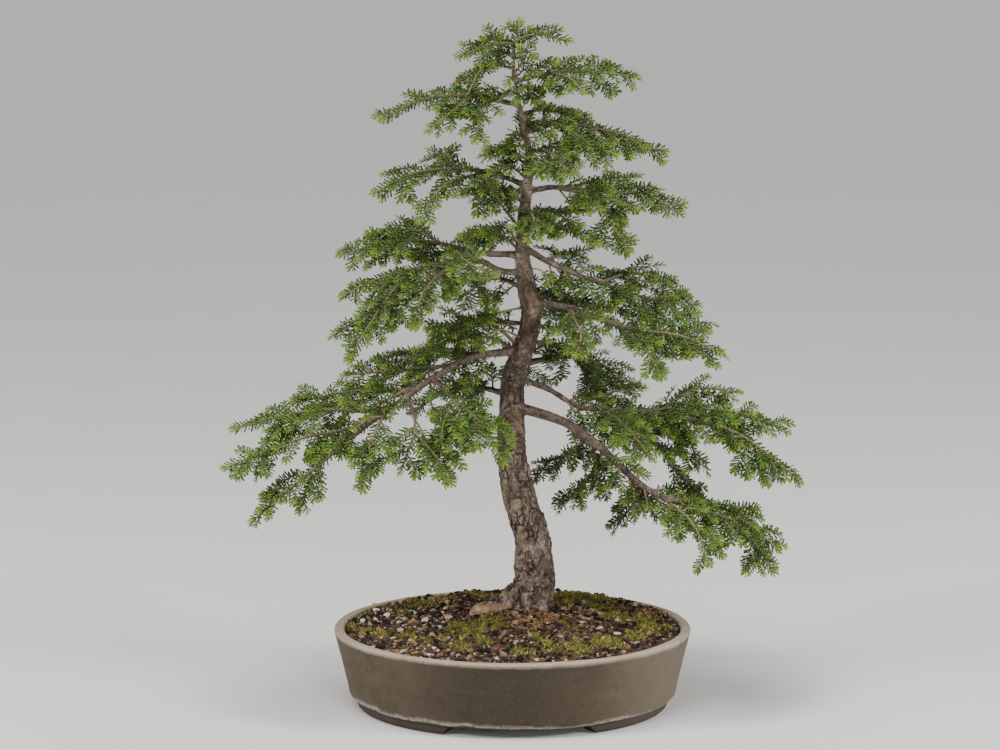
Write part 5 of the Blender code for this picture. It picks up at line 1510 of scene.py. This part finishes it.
def build_granules(edge, rng):
    """Loose granules on the bare soil, more of them pale towards the left end."""
    x, y = scatter(GRANULES, edge, rng)
    bare = 1.2 * moss_share(x, y) + 0.30 * litter_share(x, y) < rng.uniform(0.15, 1.2, len(x))
    x, y = x[bare], y[bare]
    radii = np.clip(rng.lognormal(math.log(GRANULE_RADIUS), GRANULE_SPREAD, len(x)), *GRANULE_RADII)
    colours = pick(GRANULE_COLOURS, len(x), rng)
    left = np.clip(-(x + 0.03) / 0.10, 0, 1)
    colours *= 1 + 0.5 * left[:, None]
    pale = rng.uniform(0, 1, len(x)) < 0.12 * left
    colours[pale] = np.array(PALE_GRANULE) * rng.uniform(0.5, 1.25, (pale.sum(), 1))
    sizes = rng.uniform(0.65, 1.25, (len(x), 3))
    look = tinted_material("granules", 0.9, 700.0, (0.35, 0.33, 0.30), 0.0006)
    piece = add_piece("soil_granules", *stones(x, y, radii, sizes, colours, rng, 1), look, "soil")
    piece.data.shade_flat()


def build_pebbles(rng):
    """The pale pebbles, each cut flat on several sides."""
    x, y, radii = np.array(PEBBLES).T * ((1.0,), (1.0,), (PEBBLE_SHRINK,))
    colours = np.clip(pick(PEBBLE_COLOURS, len(x), rng), 0, 0.80)
    sizes = np.stack([rng.uniform(least, most, len(x)) for least, most in PEBBLE_SIZES], axis=1)
    look = tinted_material("pebbles", 0.6, 420.0, (0.72, 0.68, 0.60), 0.0003)
    add_piece("pebbles", *stones(x, y, radii, sizes, colours, rng, 3, 0.45, 0.62, 9), look, "soil")


def build_litter(edge, rng):
    """Fallen needles and chips as thin, pointed slivers."""
    x, y = scatter(SLIVERS, edge, rng)
    keep = litter_share(x, y) * (1 - 0.6 * moss_share(x, y)) > rng.uniform(0.08, 1.7, len(x))
    x, y = x[keep], y[keep]
    count = len(x)
    yaw, dip = rng.uniform(0, 2 * math.pi, count), rng.normal(0, 0.35, count)
    direction = np.stack((np.cos(yaw) * np.cos(dip), np.sin(yaw) * np.cos(dip), np.sin(dip)), axis=1)
    across = unit(np.cross(direction, UP) + rng.normal(0, 0.3, (count, 3)))
    above = np.cross(across, direction) * SLIVER_THICKNESS / 2
    lengthwise = direction * rng.uniform(*SLIVER_LENGTH, count)[:, None] / 2
    across = across * rng.uniform(*SLIVER_WIDTH, count)[:, None] / 2
    middle = on_ground(x, y, surface(x, y)[0] + rng.uniform(0.0005, 0.0028, count))
    points = np.stack((middle - lengthwise, middle + across, middle + above, middle - across, middle - above,
                       middle + lengthwise), axis=1)
    sides = [(1 + k, 1 + (k + 1) % 4) for k in range(4)]
    base = np.array([(0, after, own) for own, after in sides] + [(5, own, after) for own, after in sides])
    colours = pick(LITTER_COLOURS, count, rng)
    look = tinted_material("litter", 0.8, 800.0, (0.5, 0.45, 0.4), 0.0002)
    add_piece("litter", points.reshape(-1, 3), [repeated(base, count, 6)], opaque(colours, 6), look, "soil")


def build_moss(edge):
    """Moss as many small pointed leaves standing on the mossy soil, with painted shade at their feet and
    between the clumps.
    """
    rng = np.random.default_rng(SEED + 2)
    x, y = scatter(MOSS_LEAVES, edge, rng)
    keep = moss_share(x, y) > rng.uniform(0.30, 1.25, len(x))
    x, y = x[keep], y[keep]
    count = len(x)
    height = surface(x, y)[0]
    clump = ground_noise(x, y, *MOSS_CLUMPS)
    tall = (0.0024 + 0.0014 * clump) * rng.uniform(0.6, 1.4, count)
    lean = rng.normal(0, 0.55, (count, 2)) * tall[:, None]
    tip = on_ground(x + lean[:, 0], y + lean[:, 1], height + tall)
    spin = rng.uniform(0, 2 * math.pi, count) + np.radians(((0,), (120,), (240,)))
    width = rng.uniform(*MOSS_WIDTH, count)
    feet = on_ground(x + width * np.cos(spin), y + width * np.sin(spin), height - 0.0004)
    points = np.stack((*feet, tip), axis=1)
    faces = repeated(np.array(((0, 1, 3), (1, 2, 3), (2, 0, 3))), count, 4)
    # Painted light and shade: leaves on taller clumps lighter, those between them darker
    colours = pick(MOSS_COLOURS, count, rng) * np.clip(0.95 + 0.65 * clump, 0.25, 1.7)[:, None]
    values = opaque(colours, 4).reshape(count, 4, 4)
    # Painted shade at the leaves' feet
    values[:, :3, :3] *= 0.45
    look = tinted_material("moss", 0.85, 500.0, (0.6, 0.6, 0.55), 0.0002)
    add_piece("moss", points.reshape(-1, 3), [faces], values.reshape(-1, 4), look, "soil")


def build_soil():
    edge = soil_edge()
    build_ground(edge)
    rng = np.random.default_rng(SEED + 1)
    build_granules(edge, rng)
    build_pebbles(rng)
    build_litter(edge, rng)
    build_moss(edge)


def dress_screens():
    """The two drainage screens keep the frame's shape."""
    plastic = plastic_material()
    for side in ("left", "right"):
        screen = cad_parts["drainage_screen_" + side]
        screen.data.materials.clear()
        screen.data.materials.append(plastic)


# Studio

def build_stage():
    """A plain pale floor, wide enough to fill the view."""
    outline = np.array([(x, y, 0.0) for x, y in ((-1, -1), (1, -1), (1, 1), (-1, 1))]) * FLOOR_HALF
    mesh = make_mesh("floor", outline, [np.array(((0, 1, 2, 3),))])
    mesh.materials.append(stage_material())
    floor = bpy.data.objects.new("floor", mesh)
    bpy.context.scene.collection.objects.link(floor)


def add_light(name, spot, target, size, power, colour):
    """A round soft lamp or, where no size is given, soft light from far above."""
    lamp = bpy.data.lights.new(name, "AREA" if size else "SUN")
    if size:
        lamp.shape = "DISK"
        lamp.size = size
    else:
        lamp.angle = math.radians(SUN_ANGLE)
    lamp.energy = power
    lamp.color = colour
    obj = bpy.data.objects.new(name, lamp)
    obj.location = spot
    obj.rotation_euler = (Vector(target) - Vector(spot)).to_track_quat("-Z", "Y").to_euler()
    bpy.context.scene.collection.objects.link(obj)


def build_camera():
    camera = bpy.data.cameras.new("camera")
    camera.lens = LENS
    camera.sensor_width = SENSOR
    obj = bpy.data.objects.new("camera", camera)
    obj.location = Vector(CAMERA_PLACE) + POT_MIDDLE
    obj.rotation_euler = (math.radians(90 - CAMERA_PITCH), 0, 0)
    bpy.context.scene.collection.objects.link(obj)
    bpy.context.scene.camera = obj


def build_studio():
    build_stage()
    for light in LIGHTS:
        add_light(*light)
    world = bpy.data.worlds.new("studio")
    world.use_nodes = True
    background = world.node_tree.nodes["Background"]
    background.inputs["Color"].default_value = WORLD_COLOUR
    background.inputs["Strength"].default_value = WORLD_STRENGTH
    bpy.context.scene.world = world
    build_camera()


def corners(box):
    return [[round(float(value), 6) for value in corner] for corner in box]


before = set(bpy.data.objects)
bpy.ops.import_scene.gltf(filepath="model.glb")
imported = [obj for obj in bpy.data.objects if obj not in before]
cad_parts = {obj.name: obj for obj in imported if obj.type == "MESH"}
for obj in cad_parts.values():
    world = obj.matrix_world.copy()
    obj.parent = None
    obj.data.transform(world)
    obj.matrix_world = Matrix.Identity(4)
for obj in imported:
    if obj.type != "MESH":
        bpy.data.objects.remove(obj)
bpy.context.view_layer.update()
pot_low, pot_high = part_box("pot")
POT_MIDDLE = Vector(((pot_low.x + pot_high.x) / 2, (pot_low.y + pot_high.y) / 2, 0.0))

boughs = grow_boughs()
build_sprays(boughs)
build_wood(boughs)
build_pot()
build_soil()
dress_screens()
build_studio()
